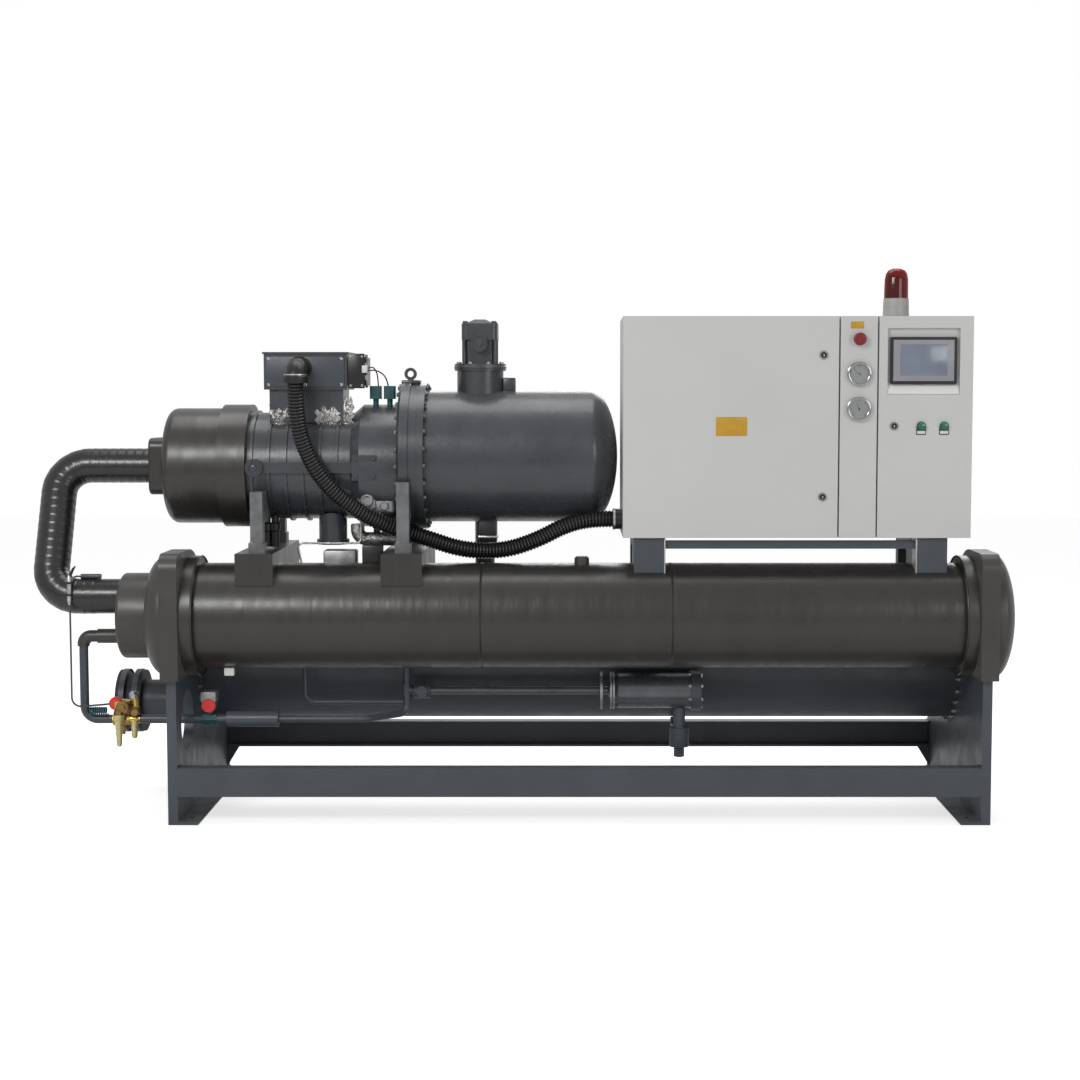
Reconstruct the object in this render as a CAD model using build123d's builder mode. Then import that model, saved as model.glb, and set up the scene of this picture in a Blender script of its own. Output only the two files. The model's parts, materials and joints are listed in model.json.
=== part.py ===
from build123d import *
import os
from math import radians, sqrt, tan

# Water cooled screw chiller: two shells in a low frame, the compressor and its
# oil separator on top, the control cabinet beside them. Millimetres, +Z up, X along
# the shells, Y to the back. The origin is on the floor, at the centre of the anchor bolts.

# Frame
sheet_span = 2530            # between the middles of the two end plates
end_plate_thickness = 30
frame_depth = 890
post_height = 456
foot_length = 62
foot_thickness = 10
anchor_bolt_radius = 9
anchor_inset = 60
rail_height = 90
rail_bottom = 89
rail_flange = 50
rail_wall = 6
seat_gap = 0.3               # between parts that rest on each other's curved faces

# Condenser
condenser_y = 108
condenser_sink = 18          # of its axis under the top of the posts
condenser_radius = 188
condenser_flange_radius = 215
water_box_length = 60
water_box_radius = 205
water_box_edge = 18
water_nozzle_radius = 70
water_nozzle_bore = 64
water_nozzle_length = 170
water_nozzle_offset = 135
return_cover_depth = 70
return_cover_rim = 25
coupling_radius = 104
coupling_length = 84
coupling_land = 24
coupling_bevel = 6
coupling_groove = 16

# Evaporator, with its insulation
evaporator_y = -275
evaporator_rise = 182        # of its axis over the top of the posts
evaporator_radius = 167
collar_radius = 190
collar_length = 37
sheet_thickness = 56
sheet_radius = 210
sheet_front = 200            # from the evaporator's axis to the front edge of its tube sheets
sheet_corner = 50
head_radius = 197
left_head_depth = 60
left_head_shoulder_depth = 48
left_head_shoulder_radius = 170
head_block_radius = 135
head_block_length = 93
head_block_corner = 12
right_head_depth = 75
right_head_rim = 20
brine_nozzle_radius = 44.5
brine_nozzle_bore = 40.5
brine_nozzle_end_length = 140
brine_sleeve_radius = 54
brine_nozzle_left_x = -1135
brine_nozzle_right_x = 960
brine_nozzle_rise = 46
brine_nozzle_end = 445

# Compressor: the motor, the rotors and the separator in line
compressor_y = -95
motor_rise = 263             # of the motor's axis over the saddles
separator_rise = 31          # of the separator's axis over the motor's
suction_block_width = 182
suction_block_length = 57
suction_block_corner = 30
suction_block_edge = 8
cap_length = 180
cap_radius = 186
cap_corner = 30
ring_length = 90
ring_radius = 198
casing_left = -1056
motor_length = 330
motor_radius = 172
rib_radius = 179
rib_width = 8
rib_pitch = 54
rib_count = 8
rib_inset = 18
rotor_length = 151
rotor_cone = 30
rotor_radius = 198
flange_length = 63
flange_radius = 239
flange_bevel = 8
flange_band = 35
flange_step = 6
bolt_flange_length = 21
bolt_flange_radius = 236
separator_radius = 213
separator_straight = 527
separator_dome = 88
web_height = 34
web_reach = 186
boss_radius = 28
boss_inset = 2
boss_reach = 199
pad_size = 80
pad_x = -677
pad_reach = 197
neck_x = -320
neck_radius = 75
neck_rise = 276
neck_flange_radius = 83
neck_flange_thickness = 22
valve_width = 116
valve_height = 129
valve_corner = 18
valve_cap_height = 14
valve_cap_rim = 93
valve_cap_tip = 35
valve_port_radius = 22
valve_port_reach = 24
valve_body_width = 94
valve_body_corner = 14
valve_body_height = 77
valve_outlet_wall = 6
valve_port_rise = 362         # of the port over the separator's axis
discharge_radius = 33
discharge_bend = 100
discharge_drop_y = 180
eye_x = -546
eye_radius = 15
eye_bar = 5
eye_stud_radius = 9
eye_stud_height = 12
terminal_width = 265
terminal_left = -1002
terminal_depth = 190
terminal_front = -220
terminal_rise = 246          # of its floor over the motor's axis
terminal_height = 113
terminal_lid_thickness = 6
terminal_lid_lip = 5
terminal_lid_corner = 6
terminal_neck_inset = 15
side_box_width = 55
side_box_height = 90
side_box_depth = 160
side_box_drop = 10
filter_x = -795
filter_y = -150
filter_radius = 45
filter_drop = 251
filter_rim = 7
filter_rim_height = 16
coil_left_x = -655
coil_right_x = -610
coil_y = -135
coil_stem_radius = 9
coil_stem_root = 12
coil_stem_height = 18
coil_width = 36
coil_depth = 44
coil_height = 42
coil_corner = 6
leg_width = 39
left_leg_x = -1011
right_leg_x = -553
leg_base_width = 49
leg_base_thickness = 29
leg_front = 250              # from the compressor's axis to the outer face of a leg
leg_depth = 40
leg_inner_reach = 90         # from the compressor's axis to the inner end of a leg's web
leg_web_height = 90
leg_knee = 60
leg_shoulder_drop = 74
leg_base_margin = 15

# Saddles under the compressor
saddle_rise = 206             # of its top over the evaporator's axis
saddle_depth = 99
left_saddle_width = 118
right_saddle_width = 128
saddle_front = 130           # from the evaporator's axis to the saddle's front face
saddle_post = 96
saddle_overhang = 55

# Suction line
suction_pipe_radius = 55
suction_bend = 95
suction_left = -1683
suction_rise = 61            # of its lower run over the evaporator's axis

# Liquid line
liquid_drop = 66             # of the head's liquid inlet under the evaporator's axis
liquid_line_drop = 333       # of the line under the evaporator's axis
liquid_radius = 14
liquid_left = -1577
liquid_bend = 42
elbow_cover_radius = 23
elbow_cover_gap = 5           # between the cover's end and the start of the pipe's bend
pass_hole_radius = 95
expansion_x = -1460
expansion_half = 26
expansion_reach = 60
expansion_hexagon = 21
expansion_neck_radius = 17
expansion_neck_height = 38
expansion_head_radius = 30
expansion_head_height = 22
expansion_stem_radius = 11
expansion_stem_drop = 48
port_offset = 44
port_radius = 12
port_height = 84
solenoid_half = 22
solenoid_x = -1178
solenoid_hexagon = 20
solenoid_stem_radius = 10
solenoid_stem_height = 36
solenoid_coil_width = 46
solenoid_coil_depth = 50
solenoid_coil_height = 50
solenoid_coil_corner = 6
sleeve_left = -1124
sleeve_right = -959
sleeve_radius = 25
thin_radius = 11
riser_x = -560
riser_y = -155
riser_low_bend = 91          # over the drier's axis
riser_high_bend = 191
riser_top_x = -660
riser_top_y = -90
tee_half = 22
tee_radius = 15
thin_offset = 120
thin_bend = 30
drier_drop = 59              # of its axis under the condenser's
drier_left = 94
drier_length = 268
drier_radius = 58
drier_cone = 32
drier_socket_radius = 20
drier_flange_radius = 66
drier_flange_thickness = 32
sight_glass_x = -509
sight_half = 26
sight_radius = 27
sight_window_radius = 18
sight_window_reach = 34
angle_valve_x = 326
angle_valve_drop = 213
angle_body_radius = 32
angle_body_drop = 30
angle_body_height = 62
angle_stem_radius = 19
angle_side_reach = 46
angle_cap_hexagon = 17
angle_cap_drop = 64
outlet_offset = 60           # of the outlet pipe in front of the condenser's axis
outlet_bend = 24
outlet_radius = 18
capillary_radius = 3
capillary_x = -1601
capillary_drop = 20
capillary_rise = 49
capillary_approach = 60
capillary_gap = 33
capillary_bends = (8, 12, 30, 14)
bulb_radius = 8
bulb_offset = 20
bulb_length = 64

# Control cabinet
cabinet_left = 136
cabinet_width = 1082
cabinet_rise = 254           # of its floor over the evaporator's axis
cabinet_height = 687
cabinet_front = -377
cabinet_depth = 400
cabinet_wall = 2
door_thickness = 18
door_sheet = 2
door_gap = 5
door_seal_gap = 8
frame_lip = 36
mounting_margin = 40
mounting_stand_off = 20
mounting_thickness = 2.5
mounting_stud_radius = 6
strip_inset = 413            # of its left edge from the cabinet's right side
strip_width = 119
hinge_inset = 8
hinge_pin_radius = 2.5
hinge_eye_radius = 5
hinge_height = 40
hinge_clearance = 0.5
hinge_arm_thickness = 4
hinge_end_distance = 110
hinge_reach = 24             # from a pin to the outer face of its arm's leg
hinge_lug_height = 6
hinge_fit = 0.05
lock_height = 4
lock_step = 3

# Fittings on the cabinet
emergency_drop = 71          # under the cabinet's top, as the next ones are
emergency_radius = 20
emergency_travel = 5
knob_stem_radius = 7
knob_height = 12
knob_edge = 5
knob_overtravel = 1
knob_root = 3
emergency_collar_inset = 4
emergency_collar_height = 7
gauge_upper_drop = 178
gauge_lower_drop = 286
gauge_radius = 38
gauge_height = 14
gauge_edge = 4
gauge_rim_width = 7
gauge_recess = 4
panel_inset = 256
panel_width = 206
panel_drop = 64
panel_height = 146
panel_depth = 12
panel_corner = 5
screen_rise = 3
screen_side_margin = 15
screen_end_margin = 17
screen_recess = 2
pocket_margin = 9
pocket_top_margin = 27
pocket_bottom_margin = 31
pocket_depth = 14
lamp_drop = 339
lamp_left_inset = 159
lamp_right_inset = 88
lamp_radius = 14
lamp_collar = 5
lamp_step = 3
lamp_height = 7
lock_radius = 11
door_lock_inset = 50
door_lock_upper_drop = 120
door_lock_lower_rise = 128
control_lock_inset = 51
beacon_inset = 227
beacon_set_back = 87
beacon_radius = 41
beacon_base_height = 56
beacon_lens_height = 96
beacon_base_taper = 2
beacon_lens_taper = 1
beacon_lens_step = 3
beacon_lens_edge = 16

# Stands under the cabinet
stand_left_inset = 82
stand_sheet_room = 135       # from the right tube sheet to the middle of the right stand
stand_width = 95
stand_front_inset = 17
stand_back_inset = 3
stand_beam = 40
stand_post = 45
stand_foot_reach = 100       # of a stand's front foot behind the evaporator's axis
cross_bar_height = 25
cross_bar_drop = 11

# Conduit between the terminal box and the cabinet
conduit_radius = 27.25
connector_drop = 45          # of the elbow connector, from its nut to the conduit's end
connector_bend = 38
connector_wall = 3
connector_nut_radius = 38
connector_nut_thickness = 8
gland_wall = 5
gland_length = 30
connector_inset = 115        # of the elbow connector from the terminal box's left side
connector_reach = 96
conduit_start_rise = 23      # of the conduit's end over the terminal box's floor
conduit_drop = 114           # of the conduit's straight part under its connector
conduit_end_y = -262
conduit_end_rise = 52        # over the cabinet's floor
conduit_last_run = 70
conduit_sag = [              # X, Y and the height over the evaporator's axis
    (-856, -319, 517), (-803, -318, 426), (-722, -310, 349), (-613, -284, 287), (-490, -250, 246),
    (-370, -236, 204), (-240, -234, 202), (-132, -240, 238), (-46, -252, 285),
]

# Oil pipes: the return from the evaporator to the riser, and the wrapped pipe under the rotors
oil_return_x = -890
oil_return_drop = 39         # of its run under the drier's axis
oil_return_radius = 8
oil_supply_left_x = -716
oil_supply_right_x = -545
oil_supply_y = -150
oil_supply_drop = 235        # of its run under the motor's axis
oil_supply_radius = 22
oil_supply_bend = 30

# Gussets under the ends of the rear rail
gusset_width = 43
gusset_height = 70
gusset_thickness = 8

plate_inner = sheet_span / 2 - end_plate_thickness / 2
plate_outer = sheet_span / 2 + end_plate_thickness / 2
condenser_z = post_height - condenser_sink
evaporator_z = post_height + evaporator_rise
saddle_top = evaporator_z + saddle_rise
motor_z = saddle_top + motor_rise
separator_z = motor_z + separator_rise
neck_top = separator_z + neck_rise
valve_port_z = separator_z + valve_port_rise
terminal_bottom = motor_z + terminal_rise
terminal_top = terminal_bottom + terminal_height
filter_bottom = motor_z - filter_drop
liquid_z = evaporator_z - liquid_line_drop
drier_z = condenser_z - drier_drop
angle_valve_z = condenser_z - angle_valve_drop
sheet_inner = sheet_span / 2 - sheet_thickness / 2
sheet_outer = sheet_span / 2 + sheet_thickness / 2
casing_right = casing_left + motor_length + rotor_length
flange_right = casing_right + flange_length
separator_left = flange_right + bolt_flange_length
ring_left = casing_left - ring_length
cap_left = ring_left - cap_length
block_left = cap_left - suction_block_length
cabinet_right = cabinet_left + cabinet_width
cabinet_bottom = evaporator_z + cabinet_rise
cabinet_top = cabinet_bottom + cabinet_height
cabinet_back = cabinet_front + cabinet_depth
door_back = cabinet_front + door_thickness
shell_front = door_back + door_seal_gap
strip_left = cabinet_right - strip_inset
strip_right = strip_left + strip_width
strip_middle = strip_left + strip_width / 2
emergency_z = cabinet_top - emergency_drop
gauge_places = [(strip_middle, cabinet_top - drop) for drop in (gauge_upper_drop, gauge_lower_drop)]
panel_left = cabinet_right - panel_inset
panel_top = cabinet_top - panel_drop
lamp_z = cabinet_top - lamp_drop
lamp_places = [(cabinet_right - lamp_left_inset, lamp_z), (cabinet_right - lamp_right_inset, lamp_z)]
door_lock_x = strip_left - door_lock_inset
door_locks = [(door_lock_x, cabinet_top - door_lock_upper_drop),
              (door_lock_x, cabinet_bottom + door_lock_lower_rise)]
control_lock = (strip_right + control_lock_inset, lamp_z)
beacon_place = (cabinet_right - beacon_inset, cabinet_front + beacon_set_back)
stand_places = (cabinet_left + stand_left_inset, sheet_inner - stand_sheet_room)
stand_front = cabinet_front + stand_front_inset
stand_back = cabinet_back - stand_back_inset
cross_bar_top = cabinet_bottom - cross_bar_drop
liquid_y = evaporator_y
expansion_right = expansion_x + expansion_reach
liquid_inlet_z = evaporator_z - liquid_drop
suction_low_z = evaporator_z + suction_rise
head_left = -(sheet_outer + left_head_depth)
head_block_left = head_left - head_block_length
conduit_start_z = terminal_bottom + conduit_start_rise
conduit_start = (terminal_left + connector_inset, terminal_front - connector_reach, conduit_start_z)
conduit_end_z = cabinet_bottom + conduit_end_rise
conduit_end = (cabinet_left - gland_length, conduit_end_y, conduit_end_z)
conduit_points = [
    conduit_start, (conduit_start[0], conduit_start[1], conduit_start_z - conduit_drop),
    *[(x, y, evaporator_z + rise) for x, y, rise in conduit_sag],
    (conduit_end[0] - conduit_last_run, conduit_end_y, conduit_end_z), conduit_end,
]

parts_made = []


def finish(builder, name):
    """Labels one finished piece and keeps it for writing."""
    builder.part.label = name
    parts_made.append(builder.part)


def along_x(y, z):
    """The plane through a shell's axis: its own x is X, its own y is the radius upwards."""
    return Plane(origin=(0, y, z), x_dir=(1, 0, 0), z_dir=(0, -1, 0))


def x_axis(y, z):
    """A shell's axis."""
    return Axis((0, y, z), (1, 0, 0))


def end_plane(x):
    """A plane across the shells: its own x is Y, its own y is Z."""
    return Plane(origin=(x, 0, 0), x_dir=(0, 1, 0), z_dir=(1, 0, 0))


def front_plane(y):
    """A plane parallel to the front, looking out of it: its own x is X, its own y is Z."""
    return Plane(origin=(0, y, 0), x_dir=(1, 0, 0), z_dir=(0, -1, 0))


def pipe(name, points, bends, radius):
    """A round bar along straight runs joined by bends."""
    with BuildPart() as run:
        with BuildLine() as route:
            if len(points) == 2:
                Line(*points)
            else:
                FilletPolyline(*points, radius=bends)
        with BuildSketch(Plane(origin=route.line @ 0, z_dir=route.line % 0)):
            Circle(radius)
        sweep()
    finish(run, name)


os.makedirs("parts", exist_ok=True)


# End plates, which are the condenser's tube sheets and the posts of the frame
def end_plate(name, side):
    with BuildPart() as plate:
        with BuildSketch(end_plane(side * sheet_span / 2)):
            with Locations((0, post_height / 2)):
                Rectangle(frame_depth, post_height)
            with Locations((condenser_y, condenser_z)):
                Circle(condenser_flange_radius)
            if side < 0:
                with Locations((liquid_y, liquid_z)):
                    Circle(pass_hole_radius, mode=Mode.SUBTRACT)
        extrude(amount=end_plate_thickness / 2, both=True)
    finish(plate, name)


end_plate("left_end_plate", -1)
end_plate("right_end_plate", 1)

foot_middle = plate_inner - foot_length / 2
anchor_x = foot_middle
anchor_y = frame_depth / 2 - anchor_inset
with BuildPart() as feet:
    with BuildSketch():
        with Locations((-foot_middle, 0), (foot_middle, 0)):
            Rectangle(foot_length, frame_depth)
        with GridLocations(2 * anchor_x, 2 * anchor_y, 2, 2):
            Circle(anchor_bolt_radius, mode=Mode.SUBTRACT)
    extrude(amount=foot_thickness)
finish(feet, "foot_flanges")


# Rails: channels between the end plates, open to the inside
with BuildPart() as rails:
    for side in (-1, 1):
        rail_middle = side * (frame_depth - rail_flange) / 2
        with BuildSketch(end_plane(-plate_inner)):
            with Locations((rail_middle, rail_bottom + rail_height / 2)):
                Rectangle(rail_flange, rail_height)
            with Locations((rail_middle - side * rail_wall, rail_bottom + rail_height / 2)):
                Rectangle(rail_flange, rail_height - 2 * rail_wall, mode=Mode.SUBTRACT)
        extrude(amount=2 * plate_inner)
    gusset_y = frame_depth / 2 - rail_flange
    for side in (-1, 1):
        with BuildSketch(front_plane(gusset_y)):
            with BuildLine():
                corner = side * plate_inner
                Polyline((corner, rail_bottom), (corner, rail_bottom - gusset_height),
                         (corner - side * gusset_width, rail_bottom), close=True)
            make_face()
        extrude(amount=-gusset_thickness)
finish(rails, "frame_rails")

# Condenser
with BuildPart() as condenser:
    with BuildSketch(end_plane(-plate_inner)):
        with Locations((condenser_y, condenser_z)):
            Circle(condenser_radius)
    extrude(amount=2 * plate_inner)
finish(condenser, "condenser_shell")

water_box_left = -plate_outer - water_box_length
nozzle_heights = (condenser_z - water_nozzle_offset, condenser_z + water_nozzle_offset)
with BuildPart() as water_box:
    with BuildSketch(end_plane(-plate_outer)):
        with Locations((condenser_y, condenser_z)):
            Circle(water_box_radius)
    extrude(amount=-water_box_length)
    fillet(water_box.faces().sort_by(Axis.X)[0].edges(), water_box_edge)
    with BuildSketch(end_plane(water_box_left)):
        with Locations(*[(condenser_y, z) for z in nozzle_heights]):
            Circle(water_nozzle_radius)
    extrude(amount=-water_nozzle_length)
    with BuildSketch(end_plane(water_box_left - water_nozzle_length)):
        with Locations(*[(condenser_y, z) for z in nozzle_heights]):
            Circle(water_nozzle_bore)
    extrude(amount=water_nozzle_length, mode=Mode.SUBTRACT)
finish(water_box, "condenser_water_box")

with BuildPart() as return_cover:
    with BuildSketch(along_x(condenser_y, condenser_z)):
        with BuildLine():
            edge_x = plate_outer + return_cover_rim
            tip_x = plate_outer + return_cover_depth
            Polyline((edge_x, water_box_radius), (plate_outer, water_box_radius), (plate_outer, 0),
                     (tip_x, 0))
            EllipticalCenterArc((edge_x, 0), tip_x - edge_x, water_box_radius, start_angle=0, arc_size=90)
        make_face()
    revolve(axis=x_axis(condenser_y, condenser_z))
finish(return_cover, "condenser_return_cover")

coupling_seat = water_box_left - water_nozzle_length
with BuildPart() as coupling:
    with BuildSketch(along_x(condenser_y, nozzle_heights[0])):
        with BuildLine():
            left = coupling_seat - coupling_length / 2
            right = coupling_seat + coupling_length / 2
            inner = water_nozzle_radius + seat_gap
            valley = coupling_radius - coupling_groove
            Polyline(
                (left, inner), (left, coupling_radius), (left + coupling_land, coupling_radius),
                (left + coupling_land + coupling_bevel, valley),
                (right - coupling_land - coupling_bevel, valley),
                (right - coupling_land, coupling_radius), (right, coupling_radius), (right, inner),
                close=True,
            )
        make_face()
    revolve(axis=x_axis(condenser_y, nozzle_heights[0]))
finish(coupling, "water_coupling")

# Evaporator
with BuildPart() as evaporator:
    with BuildSketch(along_x(evaporator_y, evaporator_z)):
        with BuildLine():
            collar = sheet_inner - collar_length
            Polyline(
                (-sheet_inner, 0), (-sheet_inner, collar_radius), (-collar, collar_radius),
                (-collar, evaporator_radius), (collar, evaporator_radius), (collar, collar_radius),
                (sheet_inner, collar_radius), (sheet_inner, 0), close=True,
            )
        make_face()
    revolve(axis=x_axis(evaporator_y, evaporator_z))
finish(evaporator, "evaporator_shell")


def tube_sheet(name, side):
    with BuildPart() as sheet:
        with BuildSketch(end_plane(side * sheet_span / 2)):
            with BuildLine():
                front = evaporator_y - sheet_front
                top = evaporator_z + sheet_radius
                foot = evaporator_y + sqrt(sheet_radius ** 2 - (evaporator_z - post_height) ** 2)
                Line((foot, post_height), (front, post_height))
                Line((front, post_height), (front, top - sheet_corner))
                RadiusArc((front, top - sheet_corner), (front + sheet_corner, top), sheet_corner)
                Line((front + sheet_corner, top), (evaporator_y, top))
                ThreePointArc((evaporator_y, top), (evaporator_y + sheet_radius, evaporator_z),
                              (foot, post_height))
            make_face()
        extrude(amount=sheet_thickness / 2, both=True)
    finish(sheet, name)


tube_sheet("left_tube_sheet", -1)
tube_sheet("right_tube_sheet", 1)

# Left head: a shallow dome, the insulated block of its ports, and the cover of the liquid inlet
with BuildPart() as left_head:
    with BuildSketch(along_x(evaporator_y, evaporator_z)):
        with BuildLine():
            Line((head_block_left, 0), (-sheet_outer, 0))
            Line((-sheet_outer, 0), (-sheet_outer, head_radius))
            ThreePointArc((-sheet_outer, head_radius),
                          (-sheet_outer - left_head_shoulder_depth, left_head_shoulder_radius),
                          (head_left, head_block_radius))
            Line((head_left, head_block_radius), (head_block_left + head_block_corner, head_block_radius))
            RadiusArc((head_block_left + head_block_corner, head_block_radius),
                      (head_block_left, head_block_radius - head_block_corner), -head_block_corner)
            Line((head_block_left, head_block_radius - head_block_corner), (head_block_left, 0))
        make_face()
    revolve(axis=x_axis(evaporator_y, evaporator_z))
    with BuildSketch(end_plane(head_block_left)):
        with Locations((liquid_y, liquid_inlet_z)):
            Circle(elbow_cover_radius)
            Circle(liquid_radius + seat_gap, mode=Mode.SUBTRACT)
    extrude(amount=-(head_block_left - liquid_left - liquid_bend - elbow_cover_gap))
finish(left_head, "evaporator_left_head")

with BuildPart() as right_head:
    with BuildSketch(along_x(evaporator_y, evaporator_z)):
        with BuildLine():
            rim_x = sheet_outer + right_head_rim
            Polyline((sheet_outer + right_head_depth, 0), (sheet_outer, 0), (sheet_outer, head_radius),
                     (rim_x, head_radius))
            EllipticalCenterArc((rim_x, 0), right_head_depth - right_head_rim, head_radius,
                                start_angle=0, arc_size=90)
        make_face()
    revolve(axis=x_axis(evaporator_y, evaporator_z))
finish(right_head, "evaporator_right_head")

brine_nozzle_z = evaporator_z + brine_nozzle_rise
with BuildPart() as brine_nozzles:
    with BuildSketch(front_plane(brine_nozzle_end)):
        with Locations((brine_nozzle_left_x, brine_nozzle_z), (brine_nozzle_right_x, brine_nozzle_z)):
            Circle(brine_nozzle_radius)
    extrude(amount=brine_nozzle_end - evaporator_y)
    with BuildSketch(front_plane(brine_nozzle_end - brine_nozzle_end_length)):
        with Locations((brine_nozzle_left_x, brine_nozzle_z), (brine_nozzle_right_x, brine_nozzle_z)):
            Circle(brine_sleeve_radius)
    extrude(amount=brine_nozzle_end - brine_nozzle_end_length - evaporator_y)
    with BuildSketch(front_plane(brine_nozzle_end)):
        with Locations((brine_nozzle_left_x, brine_nozzle_z), (brine_nozzle_right_x, brine_nozzle_z)):
            Circle(brine_nozzle_bore)
    extrude(amount=brine_nozzle_end - evaporator_y, mode=Mode.SUBTRACT)
    with BuildSketch(end_plane(-sheet_inner)):
        with Locations((evaporator_y, evaporator_z)):
            Circle(evaporator_radius + seat_gap)
    extrude(amount=2 * sheet_inner, mode=Mode.SUBTRACT)
finish(brine_nozzles, "chilled_water_nozzles")


# Saddles that carry the compressor on both shells
def saddle(name, x, width):
    with BuildPart() as beam:
        back = condenser_y + saddle_overhang
        with BuildSketch(end_plane(x)):
            with BuildLine():
                front = evaporator_y - saddle_front
                low = saddle_top - saddle_depth
                Polyline((front, saddle_top), (front, low), (back - saddle_post, low),
                         (back - saddle_post, condenser_z), (back, condenser_z), (back, saddle_top),
                         close=True)
            make_face()
            with Locations((evaporator_y, evaporator_z)):
                Circle(evaporator_radius + seat_gap, mode=Mode.SUBTRACT)
            with Locations((condenser_y, condenser_z)):
                Circle(condenser_radius + seat_gap, mode=Mode.SUBTRACT)
        extrude(amount=width / 2, both=True)
    finish(beam, name)


saddle("left_saddle", left_leg_x, left_saddle_width)
saddle("right_saddle", right_leg_x, right_saddle_width)


# Compressor feet: cast legs that flank the casing, on their base pads
with BuildPart() as feet_pairs:
    for x, axis_z, clear_radius in (
        (left_leg_x, motor_z, motor_radius), (right_leg_x, separator_z, flange_radius)
    ):
        shoulder = axis_z - leg_shoulder_drop
        base = saddle_top + leg_base_thickness
        for side in (-1, 1):
            outer = compressor_y + side * leg_front
            inner = compressor_y + side * leg_inner_reach
            with BuildSketch(end_plane(x)):
                with BuildLine():
                    Polyline(
                        (outer, base), (outer, shoulder), (inner, shoulder),
                        (inner, shoulder - leg_web_height),
                        (outer - side * leg_depth, base + leg_knee), (outer - side * leg_depth, base),
                        close=True,
                    )
                make_face()
                with Locations((compressor_y, axis_z)):
                    Circle(clear_radius + seat_gap, mode=Mode.SUBTRACT)
            extrude(amount=leg_width / 2, both=True)
            with BuildSketch(Plane.XY.offset(saddle_top)):
                with Locations((x, outer - side * leg_depth / 2)):
                    Rectangle(leg_base_width, leg_depth + leg_base_margin)
            extrude(amount=leg_base_thickness)
finish(feet_pairs, "compressor_feet")

# Insulated suction end: the valve block, the cap and the ring over the casing's joint
with BuildPart() as suction_end:
    with BuildSketch(along_x(compressor_y, motor_z)):
        with BuildLine():
            Line((casing_left, 0), (cap_left, 0))
            Line((cap_left, 0), (cap_left, cap_radius - cap_corner))
            RadiusArc((cap_left, cap_radius - cap_corner), (cap_left + cap_corner, cap_radius), cap_corner)
            Polyline((cap_left + cap_corner, cap_radius), (ring_left, cap_radius), (ring_left, ring_radius),
                     (casing_left, ring_radius), (casing_left, 0))
        make_face()
    revolve(axis=x_axis(compressor_y, motor_z))
    with BuildSketch(end_plane(cap_left)):
        with Locations((compressor_y, motor_z)):
            RectangleRounded(suction_block_width, suction_block_width, suction_block_corner)
    extrude(amount=-suction_block_length)
    fillet(suction_end.faces().sort_by(Axis.X)[0].edges(), suction_block_edge)
finish(suction_end, "suction_end")

# Ribbed casing of the motor and the rotors, with its flat web, boss and pad on both sides
motor_right = casing_left + motor_length
first_rib = casing_left + rib_inset
with BuildPart() as casing:
    with BuildSketch(along_x(compressor_y, motor_z)):
        with BuildLine():
            Polyline(
                (casing_left, 0), (casing_left, motor_radius), (motor_right, motor_radius),
                (motor_right + rotor_cone, rotor_radius), (casing_right, rotor_radius), (casing_right, 0),
                close=True,
            )
        make_face()
    revolve(axis=x_axis(compressor_y, motor_z))
    for index in range(rib_count):
        with BuildSketch(end_plane(first_rib + index * rib_pitch)):
            with Locations((compressor_y, motor_z)):
                Circle(rib_radius)
        extrude(amount=rib_width / 2, both=True)
    with BuildSketch(front_plane(compressor_y)):
        with Locations(((casing_left + casing_right) / 2, motor_z)):
            Rectangle(casing_right - casing_left, web_height)
    extrude(amount=web_reach, both=True)
    with BuildSketch(front_plane(compressor_y)):
        with Locations((casing_left + boss_radius + boss_inset, motor_z)):
            Circle(boss_radius)
    extrude(amount=boss_reach, both=True)
    with BuildSketch(front_plane(compressor_y)):
        with Locations((pad_x, motor_z)):
            Rectangle(pad_size, pad_size)
    extrude(amount=pad_reach, both=True)
finish(casing, "compressor_casing")

with BuildPart() as flanges:
    with BuildSketch(along_x(compressor_y, separator_z)):
        with BuildLine():
            band_right = casing_right + flange_band
            Polyline(
                (casing_right, 0), (casing_right, flange_radius - flange_bevel),
                (casing_right + flange_bevel, flange_radius), (band_right, flange_radius),
                (band_right, flange_radius - flange_step), (flange_right, flange_radius - flange_step),
                (flange_right, 0), close=True,
            )
        make_face()
    revolve(axis=x_axis(compressor_y, separator_z))
finish(flanges, "compressor_flange")

# Oil separator with its flange, and the discharge neck on top
separator_dome_x = separator_left + separator_straight
with BuildPart() as separator:
    with BuildSketch(along_x(compressor_y, separator_z)):
        with BuildLine():
            Polyline((separator_dome_x + separator_dome, 0), (flange_right, 0),
                     (flange_right, bolt_flange_radius), (separator_left, bolt_flange_radius),
                     (separator_left, separator_radius),
                     (separator_dome_x, separator_radius))
            EllipticalCenterArc((separator_dome_x, 0), separator_dome, separator_radius,
                                start_angle=0, arc_size=90)
        make_face()
    revolve(axis=x_axis(compressor_y, separator_z))
    with BuildSketch(Plane.XY.offset(separator_z)):
        with Locations((neck_x, compressor_y)):
            Circle(neck_radius)
    extrude(amount=neck_top - separator_z)
    with BuildSketch(Plane.XY.offset(neck_top)):
        with Locations((neck_x, compressor_y)):
            Circle(neck_flange_radius)
    extrude(amount=neck_flange_thickness)
finish(separator, "oil_separator")

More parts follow.
